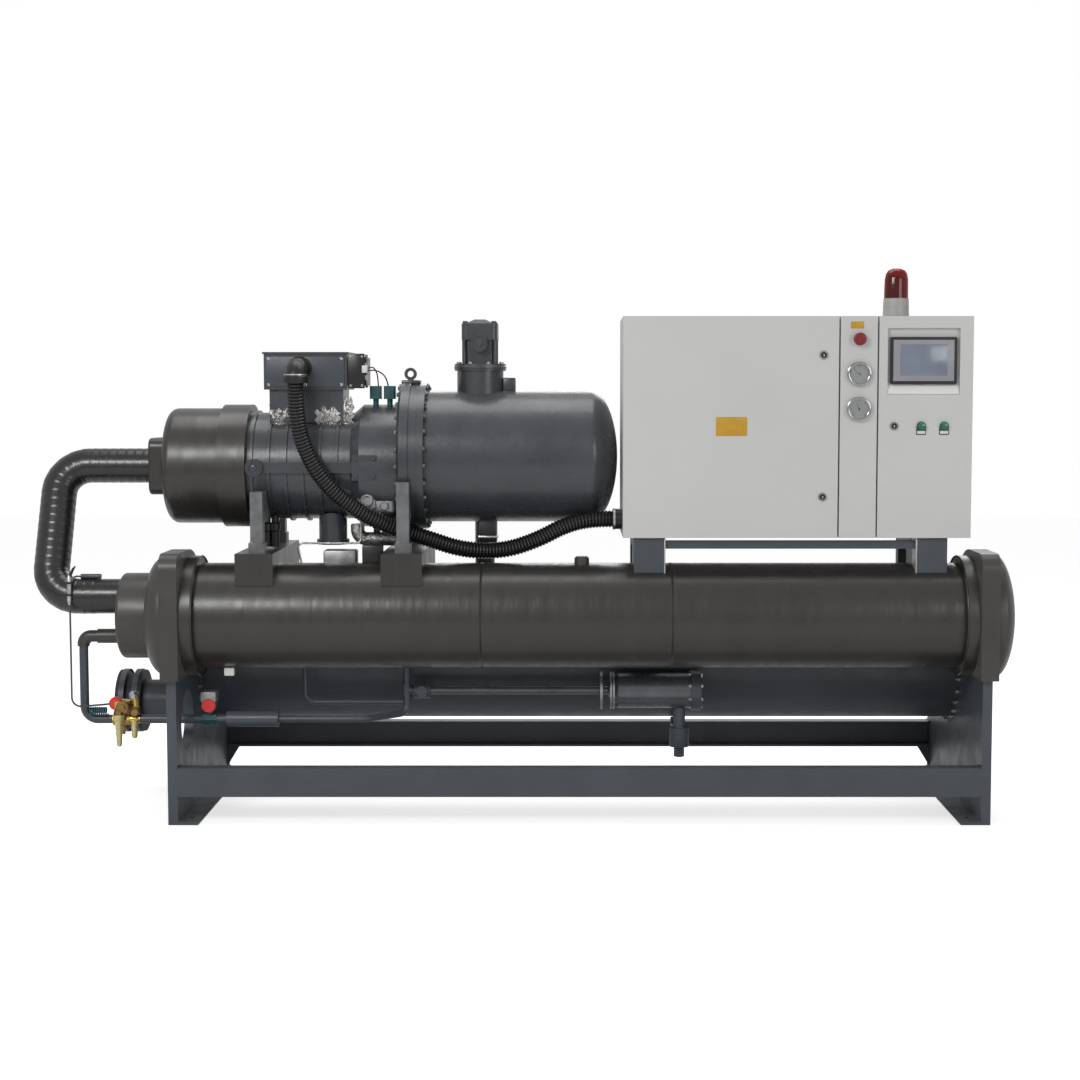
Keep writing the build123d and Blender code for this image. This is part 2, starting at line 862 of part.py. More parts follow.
valve_bottom = neck_top + neck_flange_thickness
valve_top = valve_bottom + valve_height
with BuildPart() as discharge_valve:
    with BuildSketch(Plane.XY.offset(valve_bottom)):
        with Locations((neck_x, compressor_y)):
            RectangleRounded(valve_body_width, valve_body_width, valve_body_corner)
    extrude(amount=valve_body_height)
    with BuildSketch(Plane.XY.offset(valve_bottom + valve_body_height)):
        with Locations((neck_x, compressor_y)):
            RectangleRounded(valve_width, valve_width, valve_corner)
    extrude(amount=valve_height - valve_body_height)
    with BuildSketch(Plane.XY.offset(valve_top)):
        with Locations((neck_x, compressor_y)):
            Rectangle(valve_cap_rim, valve_cap_rim)
    with BuildSketch(Plane.XY.offset(valve_top + valve_cap_height)):
        with Locations((neck_x, compressor_y)):
            Rectangle(valve_cap_tip, valve_cap_tip)
    loft()
    with BuildSketch(front_plane(compressor_y)):
        with Locations((neck_x, valve_port_z)):
            Circle(valve_port_radius)
    extrude(amount=valve_width / 2 + valve_port_reach)
    with BuildSketch(front_plane(compressor_y)):
        with Locations((neck_x, valve_port_z)):
            Circle(discharge_radius + valve_outlet_wall)
    extrude(amount=-valve_width / 2)
finish(discharge_valve, "discharge_valve")

valve_back = compressor_y + valve_width / 2
condenser_top_at_drop = condenser_z + sqrt((condenser_radius + seat_gap) ** 2
                                           - (discharge_drop_y - condenser_y - discharge_radius) ** 2)
pipe(
    "discharge_pipe",
    [(neck_x, valve_back, valve_port_z), (neck_x, discharge_drop_y, valve_port_z),
     (neck_x, discharge_drop_y, condenser_top_at_drop)],
    discharge_bend, discharge_radius,
)

with BuildPart() as lifting_eye:
    eye_seat = separator_z + flange_radius
    with BuildSketch(Plane.XY.offset(eye_seat)):
        with Locations((eye_x, compressor_y)):
            Circle(eye_stud_radius)
    extrude(amount=eye_stud_height)
    with BuildSketch(along_x(compressor_y, eye_seat + eye_stud_height + eye_radius)):
        with Locations((eye_x, 0)):
            Circle(eye_radius + eye_bar)
            Circle(eye_radius - eye_bar, mode=Mode.SUBTRACT)
    extrude(amount=eye_bar, both=True)
finish(lifting_eye, "lifting_eye")

# Terminal box on its neck
terminal_middle_x = terminal_left + terminal_width / 2
terminal_middle_y = terminal_front + terminal_depth / 2
with BuildPart() as terminal_box:
    with BuildSketch(Plane.XY.offset(terminal_bottom)):
        with Locations((terminal_middle_x, terminal_middle_y)):
            Rectangle(terminal_width, terminal_depth)
    extrude(amount=terminal_top - terminal_bottom)
    with BuildSketch(Plane.XY.offset(motor_z)):
        with Locations((terminal_middle_x, terminal_middle_y)):
            Rectangle(terminal_width - 2 * terminal_neck_inset, terminal_depth - 2 * terminal_neck_inset)
    extrude(amount=terminal_bottom - motor_z)
    with BuildSketch(end_plane(terminal_left)):
        with Locations((compressor_y, motor_z)):
            Circle(rib_radius + seat_gap)
    extrude(amount=terminal_width, mode=Mode.SUBTRACT)
    with BuildSketch(end_plane(terminal_left + terminal_width)):
        with Locations((terminal_middle_y, terminal_top - side_box_drop - side_box_height / 2)):
            Rectangle(side_box_depth, side_box_height)
    extrude(amount=side_box_width)
finish(terminal_box, "terminal_box")

with BuildPart() as terminal_lid:
    with BuildSketch(Plane.XY.offset(terminal_top)):
        with Locations((terminal_middle_x, terminal_middle_y)):
            RectangleRounded(terminal_width + 2 * terminal_lid_lip, terminal_depth + 2 * terminal_lid_lip,
                             terminal_lid_corner)
    extrude(amount=terminal_lid_thickness)
finish(terminal_lid, "terminal_lid")

# Fittings of the conduit: an elbow connector on the terminal box and a gland on the cabinet
connector_z = conduit_start_z + connector_drop
with BuildPart() as conduit_fittings:
    with BuildLine() as elbow_route:
        FilletPolyline((conduit_start[0], terminal_front, connector_z),
                       (conduit_start[0], conduit_start[1], connector_z), conduit_start,
                       radius=connector_bend)
    with BuildSketch(Plane(origin=elbow_route.line @ 0, z_dir=elbow_route.line % 0)):
        Circle(conduit_radius + connector_wall)
    sweep()
    with BuildSketch(front_plane(terminal_front)):
        with Locations((conduit_start[0], connector_z)):
            Circle(connector_nut_radius)
    extrude(amount=connector_nut_thickness)
    with BuildSketch(end_plane(conduit_end[0])):
        with Locations((conduit_end[1], conduit_end[2])):
            Circle(conduit_radius + gland_wall)
    extrude(amount=cabinet_left - conduit_end[0])
finish(conduit_fittings, "conduit_fittings")


def corner_radii(points):
    """The largest bend at each corner that leaves a tenth of the shorter run straight."""
    bends = []
    for before, corner, after in zip(points, points[1:], points[2:]):
        arriving = Vector(*corner) - Vector(*before)
        leaving = Vector(*after) - Vector(*corner)
        half_turn = radians(arriving.get_angle(leaving)) / 2
        bends.append(0.45 * min(arriving.length, leaving.length) / tan(half_turn))
    return bends


conduit_bends = corner_radii(conduit_points)
print("conduit bends", [round(bend) for bend in conduit_bends])
pipe("conduit", conduit_points, conduit_bends, conduit_radius)

# Oil filter under the casing
with BuildPart() as oil_filter:
    with BuildSketch(Plane.XY.offset(filter_bottom)):
        with Locations((filter_x, filter_y)):
            Circle(filter_radius)
    extrude(amount=motor_z - filter_bottom)
    with BuildSketch(Plane.XY.offset(filter_bottom)):
        with Locations((filter_x, filter_y)):
            Circle(filter_radius + filter_rim)
    extrude(amount=filter_rim_height)
    with BuildSketch(end_plane(filter_x - 2 * filter_radius)):
        with Locations((compressor_y, motor_z)):
            Circle(rib_radius + seat_gap)
    extrude(amount=4 * filter_radius, mode=Mode.SUBTRACT)
finish(oil_filter, "oil_filter")

# Two solenoid coils on top of the rotor housing
rotor_top = motor_z + rotor_radius
coil_places = [(coil_left_x, coil_y), (coil_right_x, coil_y)]
with BuildPart() as coils:
    with BuildSketch(Plane.XY.offset(rotor_top - coil_stem_root)):
        with Locations(*coil_places):
            Circle(coil_stem_radius)
    extrude(amount=coil_stem_root + coil_stem_height)
    with BuildSketch(Plane.XY.offset(rotor_top + coil_stem_height)):
        with Locations(*coil_places):
            RectangleRounded(coil_width, coil_depth, coil_corner)
    extrude(amount=coil_height)
    with BuildSketch(end_plane(casing_right)):
        with Locations((compressor_y, motor_z)):
            Circle(rotor_radius + seat_gap)
    extrude(amount=-rotor_length, mode=Mode.SUBTRACT)
finish(coils, "solenoid_coils")

# Suction line from the compressor down to the evaporator's left head
pipe(
    "suction_line",
    [(block_left, compressor_y, motor_z), (suction_left, compressor_y, motor_z),
     (suction_left, evaporator_y, suction_low_z), (head_block_left, evaporator_y, suction_low_z)],
    suction_bend, suction_pipe_radius,
)

# Liquid line: inlet elbow, riser, expansion valve, pipe through the left end plate, solenoid valve
pipe(
    "liquid_riser",
    [(head_block_left, liquid_y, liquid_inlet_z), (liquid_left, liquid_y, liquid_inlet_z),
     (liquid_left, liquid_y, liquid_z), (expansion_x - expansion_half, liquid_y, liquid_z)],
    liquid_bend, liquid_radius,
)
with BuildPart() as expansion_valve:
    with BuildSketch(end_plane(expansion_x)):
        with Locations((liquid_y, liquid_z)):
            RegularPolygon(expansion_hexagon, 6)
    extrude(amount=expansion_half, both=True)
    with BuildSketch(Plane.XY.offset(liquid_z)):
        with Locations((expansion_x, liquid_y)):
            Circle(expansion_neck_radius)
    extrude(amount=expansion_neck_height)
    with BuildSketch(Plane.XY.offset(liquid_z + expansion_neck_height)):
        with Locations((expansion_x, liquid_y)):
            Circle(expansion_head_radius)
    extrude(amount=expansion_head_height)
    with BuildSketch(Plane.XY.offset(liquid_z - expansion_stem_drop)):
        with Locations((expansion_x, liquid_y)):
            Circle(expansion_stem_radius)
    extrude(amount=expansion_stem_drop)
    with BuildSketch(Plane.XY.offset(liquid_z)):
        with Locations((expansion_x + port_offset, liquid_y)):
            Circle(port_radius)
    extrude(amount=port_height)
    with BuildSketch(end_plane(expansion_x)):
        with Locations((liquid_y, liquid_z)):
            Circle(liquid_radius)
    extrude(amount=expansion_reach)
finish(expansion_valve, "expansion_valve")

with BuildPart() as solenoid_valve:
    with BuildSketch(end_plane(solenoid_x)):
        with Locations((liquid_y, liquid_z)):
            RegularPolygon(solenoid_hexagon, 6)
    extrude(amount=solenoid_half, both=True)
    with BuildSketch(Plane.XY.offset(liquid_z)):
        with Locations((solenoid_x, liquid_y)):
            Circle(solenoid_stem_radius)
    extrude(amount=solenoid_stem_height)
    with BuildSketch(Plane.XY.offset(liquid_z + solenoid_stem_height)):
        with Locations((solenoid_x, liquid_y)):
            RectangleRounded(solenoid_coil_width, solenoid_coil_depth, solenoid_coil_corner)
    extrude(amount=solenoid_coil_height)
finish(solenoid_valve, "solenoid_valve")

# Liquid line: the pipe between the two valves, the thick sleeve and the thin pipe to the tee
with BuildPart() as liquid_line:
    with BuildSketch(end_plane(expansion_right)):
        with Locations((liquid_y, liquid_z)):
            Circle(liquid_radius)
    extrude(amount=solenoid_x - solenoid_half - expansion_right)
    with BuildSketch(end_plane(solenoid_x + solenoid_half)):
        with Locations((liquid_y, liquid_z)):
            Circle(liquid_radius)
    extrude(amount=sleeve_left - solenoid_x - solenoid_half)
    with BuildSketch(end_plane(sleeve_left)):
        with Locations((liquid_y, liquid_z)):
            Circle(sleeve_radius)
    extrude(amount=sleeve_right - sleeve_left)
    with BuildLine() as thin_route:
        FilletPolyline(
            (sleeve_right, liquid_y, liquid_z), (riser_x - thin_offset, liquid_y, liquid_z),
            (riser_x, riser_y, liquid_z), (riser_x, riser_y, drier_z - tee_half), radius=thin_bend,
        )
    with BuildSketch(Plane(origin=thin_route.line @ 0, z_dir=thin_route.line % 0)):
        Circle(thin_radius)
    sweep()
finish(liquid_line, "liquid_line")

# Riser from the tee up between the shells to the rotor housing
with BuildPart() as injection_riser:
    with BuildSketch(Plane.XY.offset(drier_z)):
        with Locations((riser_x, riser_y)):
            Circle(tee_radius)
    extrude(amount=tee_half, both=True)
    with BuildSketch(end_plane(riser_x)):
        with Locations((riser_y, drier_z)):
            Circle(tee_radius)
    extrude(amount=tee_half)
    with BuildLine() as riser_route:
        FilletPolyline(
            (riser_x, riser_y, drier_z), (riser_x, riser_y, drier_z + riser_low_bend),
            (riser_top_x, riser_top_y, drier_z + riser_high_bend),
            (riser_top_x, riser_top_y, motor_z - rotor_radius - seat_gap), radius=thin_bend,
        )
    with BuildSketch(Plane(origin=riser_route.line @ 0, z_dir=riser_route.line % 0)):
        Circle(thin_radius)
    sweep()
finish(injection_riser, "injection_riser")

oil_return_z = drier_z - oil_return_drop
with BuildPart() as oil_return:
    with BuildLine() as return_route:
        FilletPolyline((oil_return_x, riser_y, evaporator_z), (oil_return_x, riser_y, oil_return_z),
                       (riser_x - thin_radius - seat_gap, riser_y, oil_return_z), radius=thin_bend)
    with BuildSketch(Plane(origin=return_route.line @ 0, z_dir=return_route.line % 0)):
        Circle(oil_return_radius)
    sweep()
    with BuildSketch(end_plane(-sheet_inner)):
        with Locations((evaporator_y, evaporator_z)):
            Circle(evaporator_radius + seat_gap)
    extrude(amount=2 * sheet_inner, mode=Mode.SUBTRACT)
finish(oil_return, "oil_return_pipe")

with BuildPart() as oil_supply:
    with BuildLine() as supply_route:
        run_z = motor_z - oil_supply_drop
        FilletPolyline((oil_supply_left_x, oil_supply_y, motor_z), (oil_supply_left_x, oil_supply_y, run_z),
                       (oil_supply_right_x, oil_supply_y, run_z),
                       (oil_supply_right_x, oil_supply_y, separator_z), radius=oil_supply_bend)
    with BuildSketch(Plane(origin=supply_route.line @ 0, z_dir=supply_route.line % 0)):
        Circle(oil_supply_radius)
    sweep()
    with BuildSketch(end_plane(casing_left)):
        with Locations((compressor_y, motor_z)):
            Circle(rotor_radius + seat_gap)
    extrude(amount=casing_right - casing_left, mode=Mode.SUBTRACT)
    with BuildSketch(end_plane(casing_right)):
        with Locations((compressor_y, separator_z)):
            Circle(flange_radius + seat_gap)
    extrude(amount=flange_length + bolt_flange_length, mode=Mode.SUBTRACT)
finish(oil_supply, "oil_supply_pipe")

# Sight glass, the pipe to the filter drier and the drier with its bolted cover
with BuildPart() as sight_glass:
    with BuildSketch(along_x(riser_y, drier_z)):
        with BuildLine():
            left = riser_x + tee_half
            Polyline(
                (left, 0), (left, liquid_radius), (sight_glass_x - sight_half, liquid_radius),
                (sight_glass_x - sight_half, sight_radius), (sight_glass_x + sight_half, sight_radius),
                (sight_glass_x + sight_half, 0), close=True,
            )
        make_face()
    revolve(axis=x_axis(riser_y, drier_z))
    with BuildSketch(front_plane(riser_y)):
        with Locations((sight_glass_x, drier_z)):
            Circle(sight_window_radius)
    extrude(amount=sight_window_reach)
finish(sight_glass, "sight_glass")
drier_right = drier_left + drier_length
sight_right = sight_glass_x + sight_half
with BuildPart() as drier:
    with BuildSketch(along_x(riser_y, drier_z)):
        with BuildLine():
            Polyline(
                (sight_right, 0), (sight_right, liquid_radius), (drier_left, liquid_radius),
                (drier_left, drier_socket_radius), (drier_left + drier_cone, drier_radius),
                (drier_right, drier_radius), (drier_right, 0), close=True,
            )
        make_face()
    revolve(axis=x_axis(riser_y, drier_z))
finish(drier, "filter_drier")
with BuildPart() as drier_cover:
    with BuildSketch(end_plane(drier_right)):
        with Locations((riser_y, drier_z)):
            Circle(drier_flange_radius)
    extrude(amount=drier_flange_thickness)
finish(drier_cover, "drier_cover")

# Angle valve under the drier, with its pipe back to the condenser's outlet
with BuildPart() as angle_valve:
    with BuildSketch(Plane.XY.offset(angle_valve_z - angle_body_drop)):
        with Locations((angle_valve_x, riser_y)):
            Circle(angle_body_radius)
    extrude(amount=angle_body_height)
    with BuildSketch(Plane.XY.offset(angle_valve_z)):
        with Locations((angle_valve_x, riser_y)):
            Circle(angle_stem_radius)
    extrude(amount=drier_z - angle_valve_z)
    with BuildSketch(Plane.XY.offset(angle_valve_z - angle_cap_drop)):
        with Locations((angle_valve_x, riser_y)):
            RegularPolygon(angle_cap_hexagon, 6)
    extrude(amount=angle_cap_drop)
    with BuildSketch(front_plane(riser_y)):
        with Locations((angle_valve_x, angle_valve_z)):
            Circle(angle_stem_radius)
    extrude(amount=-angle_side_reach)
    with BuildSketch(end_plane(angle_valve_x - angle_body_radius)):
        with Locations((riser_y, drier_z)):
            Circle(drier_radius + seat_gap)
    extrude(amount=2 * angle_body_radius, mode=Mode.SUBTRACT)
finish(angle_valve, "angle_valve")

outlet_y = condenser_y - outlet_offset
outlet_top = condenser_z - sqrt((condenser_radius + seat_gap) ** 2 - (outlet_offset - outlet_radius) ** 2)
pipe(
    "condenser_outlet",
    [(angle_valve_x, riser_y + angle_side_reach, angle_valve_z), (angle_valve_x, outlet_y, angle_valve_z),
     (angle_valve_x, outlet_y, outlet_top)],
    outlet_bend, outlet_radius,
)

# Sensing bulb on the suction line, with its capillary to the expansion valve
bulb_z = suction_low_z + suction_pipe_radius + bulb_radius + seat_gap
capillary_y = evaporator_y - suction_pipe_radius - bulb_radius
capillary_end_z = liquid_z + capillary_rise
with BuildPart() as capillary:
    with BuildSketch(end_plane(capillary_x + bulb_offset)):
        with Locations((evaporator_y, bulb_z)):
            Circle(bulb_radius)
    extrude(amount=bulb_length)
    with BuildLine() as capillary_route:
        FilletPolyline(
            (capillary_x + bulb_offset, evaporator_y, bulb_z), (capillary_x, evaporator_y, bulb_z),
            (capillary_x, capillary_y, bulb_z - capillary_drop), (capillary_x, capillary_y, capillary_end_z),
            (expansion_x - capillary_approach, liquid_y - capillary_drop, capillary_end_z),
            (expansion_x - capillary_gap, liquid_y, capillary_end_z), radius=capillary_bends,
        )
    with BuildSketch(Plane(origin=capillary_route.line @ 0, z_dir=capillary_route.line % 0)):
        Circle(capillary_radius)
    sweep()
finish(capillary, "capillary")

# Cabinet shell: an open fronted box with a lip around each doorway
main_door_right = strip_left - door_gap / 2
control_door_left = strip_right + door_gap / 2
main_open_right = strip_left - frame_lip / 2
control_open_left = strip_right + frame_lip / 2
with BuildPart() as cabinet:
    with BuildSketch(Plane.XY.offset(cabinet_bottom)):
        with Locations(((cabinet_left + cabinet_right) / 2, (shell_front + cabinet_back) / 2)):
            Rectangle(cabinet_width, cabinet_back - shell_front)
    extrude(amount=cabinet_height)
    offset(amount=-cabinet_wall, kind=Kind.INTERSECTION, mode=Mode.SUBTRACT)
    with BuildSketch(front_plane(shell_front)):
        opening_z = cabinet_bottom + cabinet_height / 2
        opening_height = cabinet_height - 2 * frame_lip
        main_open_left = cabinet_left + frame_lip
        control_open_right = cabinet_right - frame_lip
        with Locations(((main_open_left + main_open_right) / 2, opening_z)):
            Rectangle(main_open_right - main_open_left, opening_height)
        with Locations(((control_open_left + control_open_right) / 2, opening_z)):
            Rectangle(control_open_right - control_open_left, opening_height)
    extrude(amount=-2 * cabinet_wall, mode=Mode.SUBTRACT)
finish(cabinet, "cabinet_shell")

with BuildPart() as mounting_plate:
    with BuildSketch(front_plane(cabinet_back - cabinet_wall - mounting_stand_off)):
        with Locations(((cabinet_left + cabinet_right) / 2, opening_z)):
            Rectangle(cabinet_width - 2 * mounting_margin, cabinet_height - 2 * mounting_margin)
    extrude(amount=mounting_thickness)
    with BuildSketch(front_plane(cabinet_back - cabinet_wall)):
        with Locations(((cabinet_left + cabinet_right) / 2, opening_z)):
            with GridLocations(cabinet_width - 3 * mounting_margin,
                               cabinet_height - 3 * mounting_margin, 2, 2):
                Circle(mounting_stud_radius)
    extrude(amount=mounting_stand_off)
finish(mounting_plate, "mounting_plate")

# Fixed strip between the doors
with BuildPart() as strip:
    with BuildSketch(front_plane(shell_front)):
        with Locations(((strip_left + strip_right) / 2, opening_z)):
            Rectangle(strip_width - door_gap, cabinet_height)
    extrude(amount=shell_front - cabinet_front)
finish(strip, "gauge_strip")


# Doors: folded pans that swing on pins inside their hinge edge
def door(name, left, right, side, lock_places, pockets):
    """side is -1 for a door hinged on its left edge and 1 for one hinged on its right.
    A pocket is the middle and the size of a tray that is sunk into the door's face."""
    middle = (left + right) / 2
    hinge_x = (left if side < 0 else right) - side * hinge_inset
    hinge_y = cabinet_front + hinge_inset
    ends = (cabinet_bottom + hinge_end_distance, cabinet_top - hinge_end_distance)
    with BuildPart() as pan:
        with BuildSketch(front_plane(door_back)):
            with Locations((middle, opening_z)):
                Rectangle(right - left, cabinet_height)
        extrude(amount=door_thickness)
        with BuildSketch(front_plane(door_back)):
            with Locations((middle, opening_z)):
                Rectangle(right - left - 2 * door_sheet, cabinet_height - 2 * door_sheet)
        extrude(amount=door_thickness - door_sheet, mode=Mode.SUBTRACT)
        for pocket_x, pocket_z, pocket_width, pocket_height in pockets:
            with BuildSketch(front_plane(door_back)):
                with Locations((pocket_x, pocket_z)):
                    Rectangle(pocket_width + 2 * door_sheet, pocket_height + 2 * door_sheet)
            extrude(amount=door_thickness)
            with BuildSketch(front_plane(cabinet_front)):
                with Locations((pocket_x, pocket_z)):
                    Rectangle(pocket_width, pocket_height)
            extrude(amount=-pocket_depth, mode=Mode.SUBTRACT)
        lug = hinge_inset - door_sheet
        for end in ends:
            with BuildSketch(Plane.XY.offset(end - hinge_height / 2)):
                with Locations((hinge_x, hinge_y)):
                    Circle(hinge_pin_radius)
            extrude(amount=hinge_height)
            for height in (end - hinge_height / 2, end + hinge_height / 2 - hinge_lug_height):
                with BuildSketch(Plane.XY.offset(height)):
                    with Locations((hinge_x, hinge_y)):
                        Rectangle(2 * lug, 2 * lug)
                extrude(amount=hinge_lug_height)
        for x, z in lock_places:
            with BuildSketch(front_plane(cabinet_front)):
                with Locations((x, z)):
                    Circle(lock_radius)
            extrude(amount=lock_height)
            with BuildSketch(front_plane(cabinet_front)):
                with Locations((x, z)):
                    Circle(lock_radius - lock_step)
            extrude(amount=-door_thickness)
    finish(pan, name)


door("main_door", cabinet_left, main_door_right, -1,
     door_locks, [])
pocket_top = panel_top + pocket_top_margin
pocket_low = panel_top - panel_height - pocket_bottom_margin
panel_middle = panel_left + panel_width / 2
door("control_door", control_door_left, cabinet_right, 1, [control_lock],
     [(panel_middle, (pocket_top + pocket_low) / 2, panel_width + 2 * pocket_margin,
       pocket_top - pocket_low)])

# Hinge arms: bent strips on the shell's lip that reach into each door and hold its pins
with BuildPart() as hinge_arms:
    for edge, side in ((cabinet_left, 1), (cabinet_right, -1)):
        pin_x = edge + side * hinge_inset
        pin_y = cabinet_front + hinge_inset
        reach = pin_x + side * hinge_reach
        half = hinge_arm_thickness / 2
        arm_height = hinge_height - 2 * hinge_lug_height - 2 * hinge_clearance
        for end in (cabinet_bottom + hinge_end_distance, cabinet_top - hinge_end_distance):
            with BuildSketch(Plane.XY.offset(end - arm_height / 2)):
                with BuildLine():
                    Polyline(
                        (pin_x, pin_y - half), (reach, pin_y - half), (reach, shell_front),
                        (reach - side * hinge_arm_thickness, shell_front),
                        (reach - side * hinge_arm_thickness, pin_y + half), (pin_x, pin_y + half), close=True,
                    )
                make_face()
                with Locations((pin_x, pin_y)):
                    Circle(hinge_eye_radius)
                    Circle(hinge_pin_radius + hinge_fit, mode=Mode.SUBTRACT)
            extrude(amount=arm_height)
finish(hinge_arms, "hinge_arms")

# Emergency stop: its ring on the strip, and the knob that slides
with BuildPart() as emergency_ring:
    with BuildSketch(front_plane(cabinet_front)):
        with Locations((strip_middle, emergency_z)):
            Circle(emergency_radius - emergency_collar_inset)
            Circle(knob_stem_radius + seat_gap, mode=Mode.SUBTRACT)
    extrude(amount=emergency_collar_height)
finish(emergency_ring, "emergency_ring")
knob_seat = cabinet_front - emergency_collar_height - emergency_travel - knob_overtravel
with BuildPart() as emergency_knob:
    with BuildSketch(front_plane(knob_seat)):
        with Locations((strip_middle, emergency_z)):
            Circle(emergency_radius)
    extrude(amount=knob_height)
    fillet(emergency_knob.faces().sort_by(Axis.Y)[0].edges(), knob_edge)
    with BuildSketch(front_plane(knob_seat)):
        with Locations((strip_middle, emergency_z)):
            Circle(knob_stem_radius)
    extrude(amount=-(emergency_travel + knob_root))
finish(emergency_knob, "emergency_knob")

# Two pressure gauges on the strip
with BuildPart() as gauges:
    with BuildSketch(front_plane(cabinet_front)):
        with Locations(*gauge_places):
            Circle(gauge_radius)
    extrude(amount=gauge_height)
    for rim in gauges.faces().sort_by(Axis.Y)[:2]:
        fillet(rim.edges(), gauge_edge)
    with BuildSketch(front_plane(cabinet_front - gauge_height)):
        with Locations(*gauge_places):
            Circle(gauge_radius - gauge_rim_width)
    extrude(amount=-gauge_recess, mode=Mode.SUBTRACT)
finish(gauges, "pressure_gauges")

# Operating panel in its pocket
with BuildPart() as panel:
    with BuildSketch(front_plane(cabinet_front + pocket_depth)):
        with Locations((panel_middle, panel_top - panel_height / 2)):
            RectangleRounded(panel_width, panel_height, panel_corner)
    extrude(amount=panel_depth)
    with BuildSketch(front_plane(cabinet_front + pocket_depth - panel_depth)):
        with Locations((panel_middle, panel_top - panel_height / 2 + screen_rise)):
            Rectangle(panel_width - 2 * screen_side_margin, panel_height - 2 * screen_end_margin)
    extrude(amount=-screen_recess, mode=Mode.SUBTRACT)
finish(panel, "operating_panel")

with BuildPart() as lamps:
    with BuildSketch(front_plane(cabinet_front)):
        with Locations(*lamp_places):
            Circle(lamp_radius)
    extrude(amount=lamp_collar)
    with BuildSketch(front_plane(cabinet_front - lamp_collar)):
        with Locations(*lamp_places):
            Circle(lamp_radius - lamp_step)
    extrude(amount=lamp_height)
finish(lamps, "indicator_lamps")

# Beacon on the cabinet's roof
with BuildPart() as beacon_base:
    with BuildSketch(Plane.XY.offset(cabinet_top)):
        with Locations(beacon_place):
            Circle(beacon_radius)
    extrude(amount=beacon_base_height, taper=beacon_base_taper)
finish(beacon_base, "beacon_base")
with BuildPart() as beacon_lens:
    with BuildSketch(Plane.XY.offset(cabinet_top + beacon_base_height)):
        with Locations(beacon_place):
            Circle(beacon_radius - beacon_lens_step)
    extrude(amount=beacon_lens_height, taper=beacon_lens_taper)
    fillet(beacon_lens.faces().sort_by(Axis.Z)[-1].edges(), beacon_lens_edge)
finish(beacon_lens, "beacon_lens")


# Stands under the cabinet, one on each side, and the bar between them
with BuildPart() as cabinet_stand:
    for x in stand_places:
        with BuildSketch(end_plane(x)):
            with BuildLine():
                front_post_back = evaporator_y + stand_foot_reach
                back_post_front = stand_back - stand_post
                beam_bottom = cabinet_bottom - stand_beam
                Polyline(
                    (stand_front, cabinet_bottom), (stand_front, evaporator_z),
                    (front_post_back, evaporator_z), (front_post_back, beam_bottom),
                    (back_post_front, beam_bottom), (back_post_front, condenser_z),
                    (stand_back, condenser_z), (stand_back, cabinet_bottom), close=True,
                )
            make_face()
            with Locations((evaporator_y, evaporator_z)):
                Circle(evaporator_radius + seat_gap, mode=Mode.SUBTRACT)
            with Locations((condenser_y, condenser_z)):
                Circle(condenser_radius + seat_gap, mode=Mode.SUBTRACT)
        extrude(amount=stand_width / 2, both=True)
    bar_left = stand_places[0] + stand_width / 2
    bar_right = stand_places[1] - stand_width / 2
    with BuildSketch(end_plane(bar_left)):
        with Locations((stand_front + cross_bar_height, cross_bar_top - cross_bar_height / 2)):
            Rectangle(cross_bar_height, cross_bar_height)
    extrude(amount=bar_right - bar_left)
finish(cabinet_stand, "cabinet_stand")

for piece in parts_made:
    export_step(piece, f"parts/{piece.label}.step")
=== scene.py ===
"""Water cooled screw chiller: materials, small hardware, the conduit, light and camera."""

import json
import math
import random

import bmesh
import bpy
from mathutils import Matrix, Vector


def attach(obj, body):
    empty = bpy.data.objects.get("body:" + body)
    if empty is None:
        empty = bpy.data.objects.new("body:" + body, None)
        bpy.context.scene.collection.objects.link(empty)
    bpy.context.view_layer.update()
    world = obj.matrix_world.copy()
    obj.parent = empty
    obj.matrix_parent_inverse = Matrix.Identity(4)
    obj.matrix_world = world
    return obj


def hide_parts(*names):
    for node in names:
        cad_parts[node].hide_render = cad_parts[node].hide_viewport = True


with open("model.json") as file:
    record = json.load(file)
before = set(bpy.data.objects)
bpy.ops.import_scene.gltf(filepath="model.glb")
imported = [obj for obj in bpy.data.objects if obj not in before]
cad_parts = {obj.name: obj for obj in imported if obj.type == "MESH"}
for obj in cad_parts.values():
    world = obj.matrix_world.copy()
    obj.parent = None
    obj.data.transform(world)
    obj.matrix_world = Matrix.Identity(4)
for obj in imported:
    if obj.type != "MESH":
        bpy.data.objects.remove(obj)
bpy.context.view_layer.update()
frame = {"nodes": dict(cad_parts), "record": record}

random.seed(7)
MM = 0.001
SHARP = math.radians(32)
X, Y, Z = Vector((1, 0, 0)), Vector((0, 1, 0)), Vector((0, 0, 1))


# Materials


def tree_of(name):
    made = bpy.data.materials.new(name)
    made.use_nodes = True
    nodes = made.node_tree.nodes
    return made, nodes, made.node_tree.links, nodes["Principled BSDF"]


def noise(nodes, links, place, scale, detail=4, stretch=(1, 1, 1)):
    """A noise texture in metres, stretched along some axes."""
    mapping = nodes.new("ShaderNodeMapping")
    mapping.inputs["Scale"].default_value = stretch
    links.new(place, mapping.inputs["Vector"])
    texture = nodes.new("ShaderNodeTexNoise")
    texture.inputs["Scale"].default_value = scale
    texture.inputs["Detail"].default_value = detail
    links.new(mapping.outputs["Vector"], texture.inputs["Vector"])
    return texture.outputs["Fac"]


def spread_of(nodes, links, value, low, high):
    """Maps the middle of a noise onto low to high."""
    spread = nodes.new("ShaderNodeMapRange")
    spread.inputs["From Min"].default_value = 0.3
    spread.inputs["From Max"].default_value = 0.7
    spread.inputs["To Min"].default_value = low
    spread.inputs["To Max"].default_value = high
    links.new(value, spread.inputs["Value"])
    return spread.outputs["Result"]


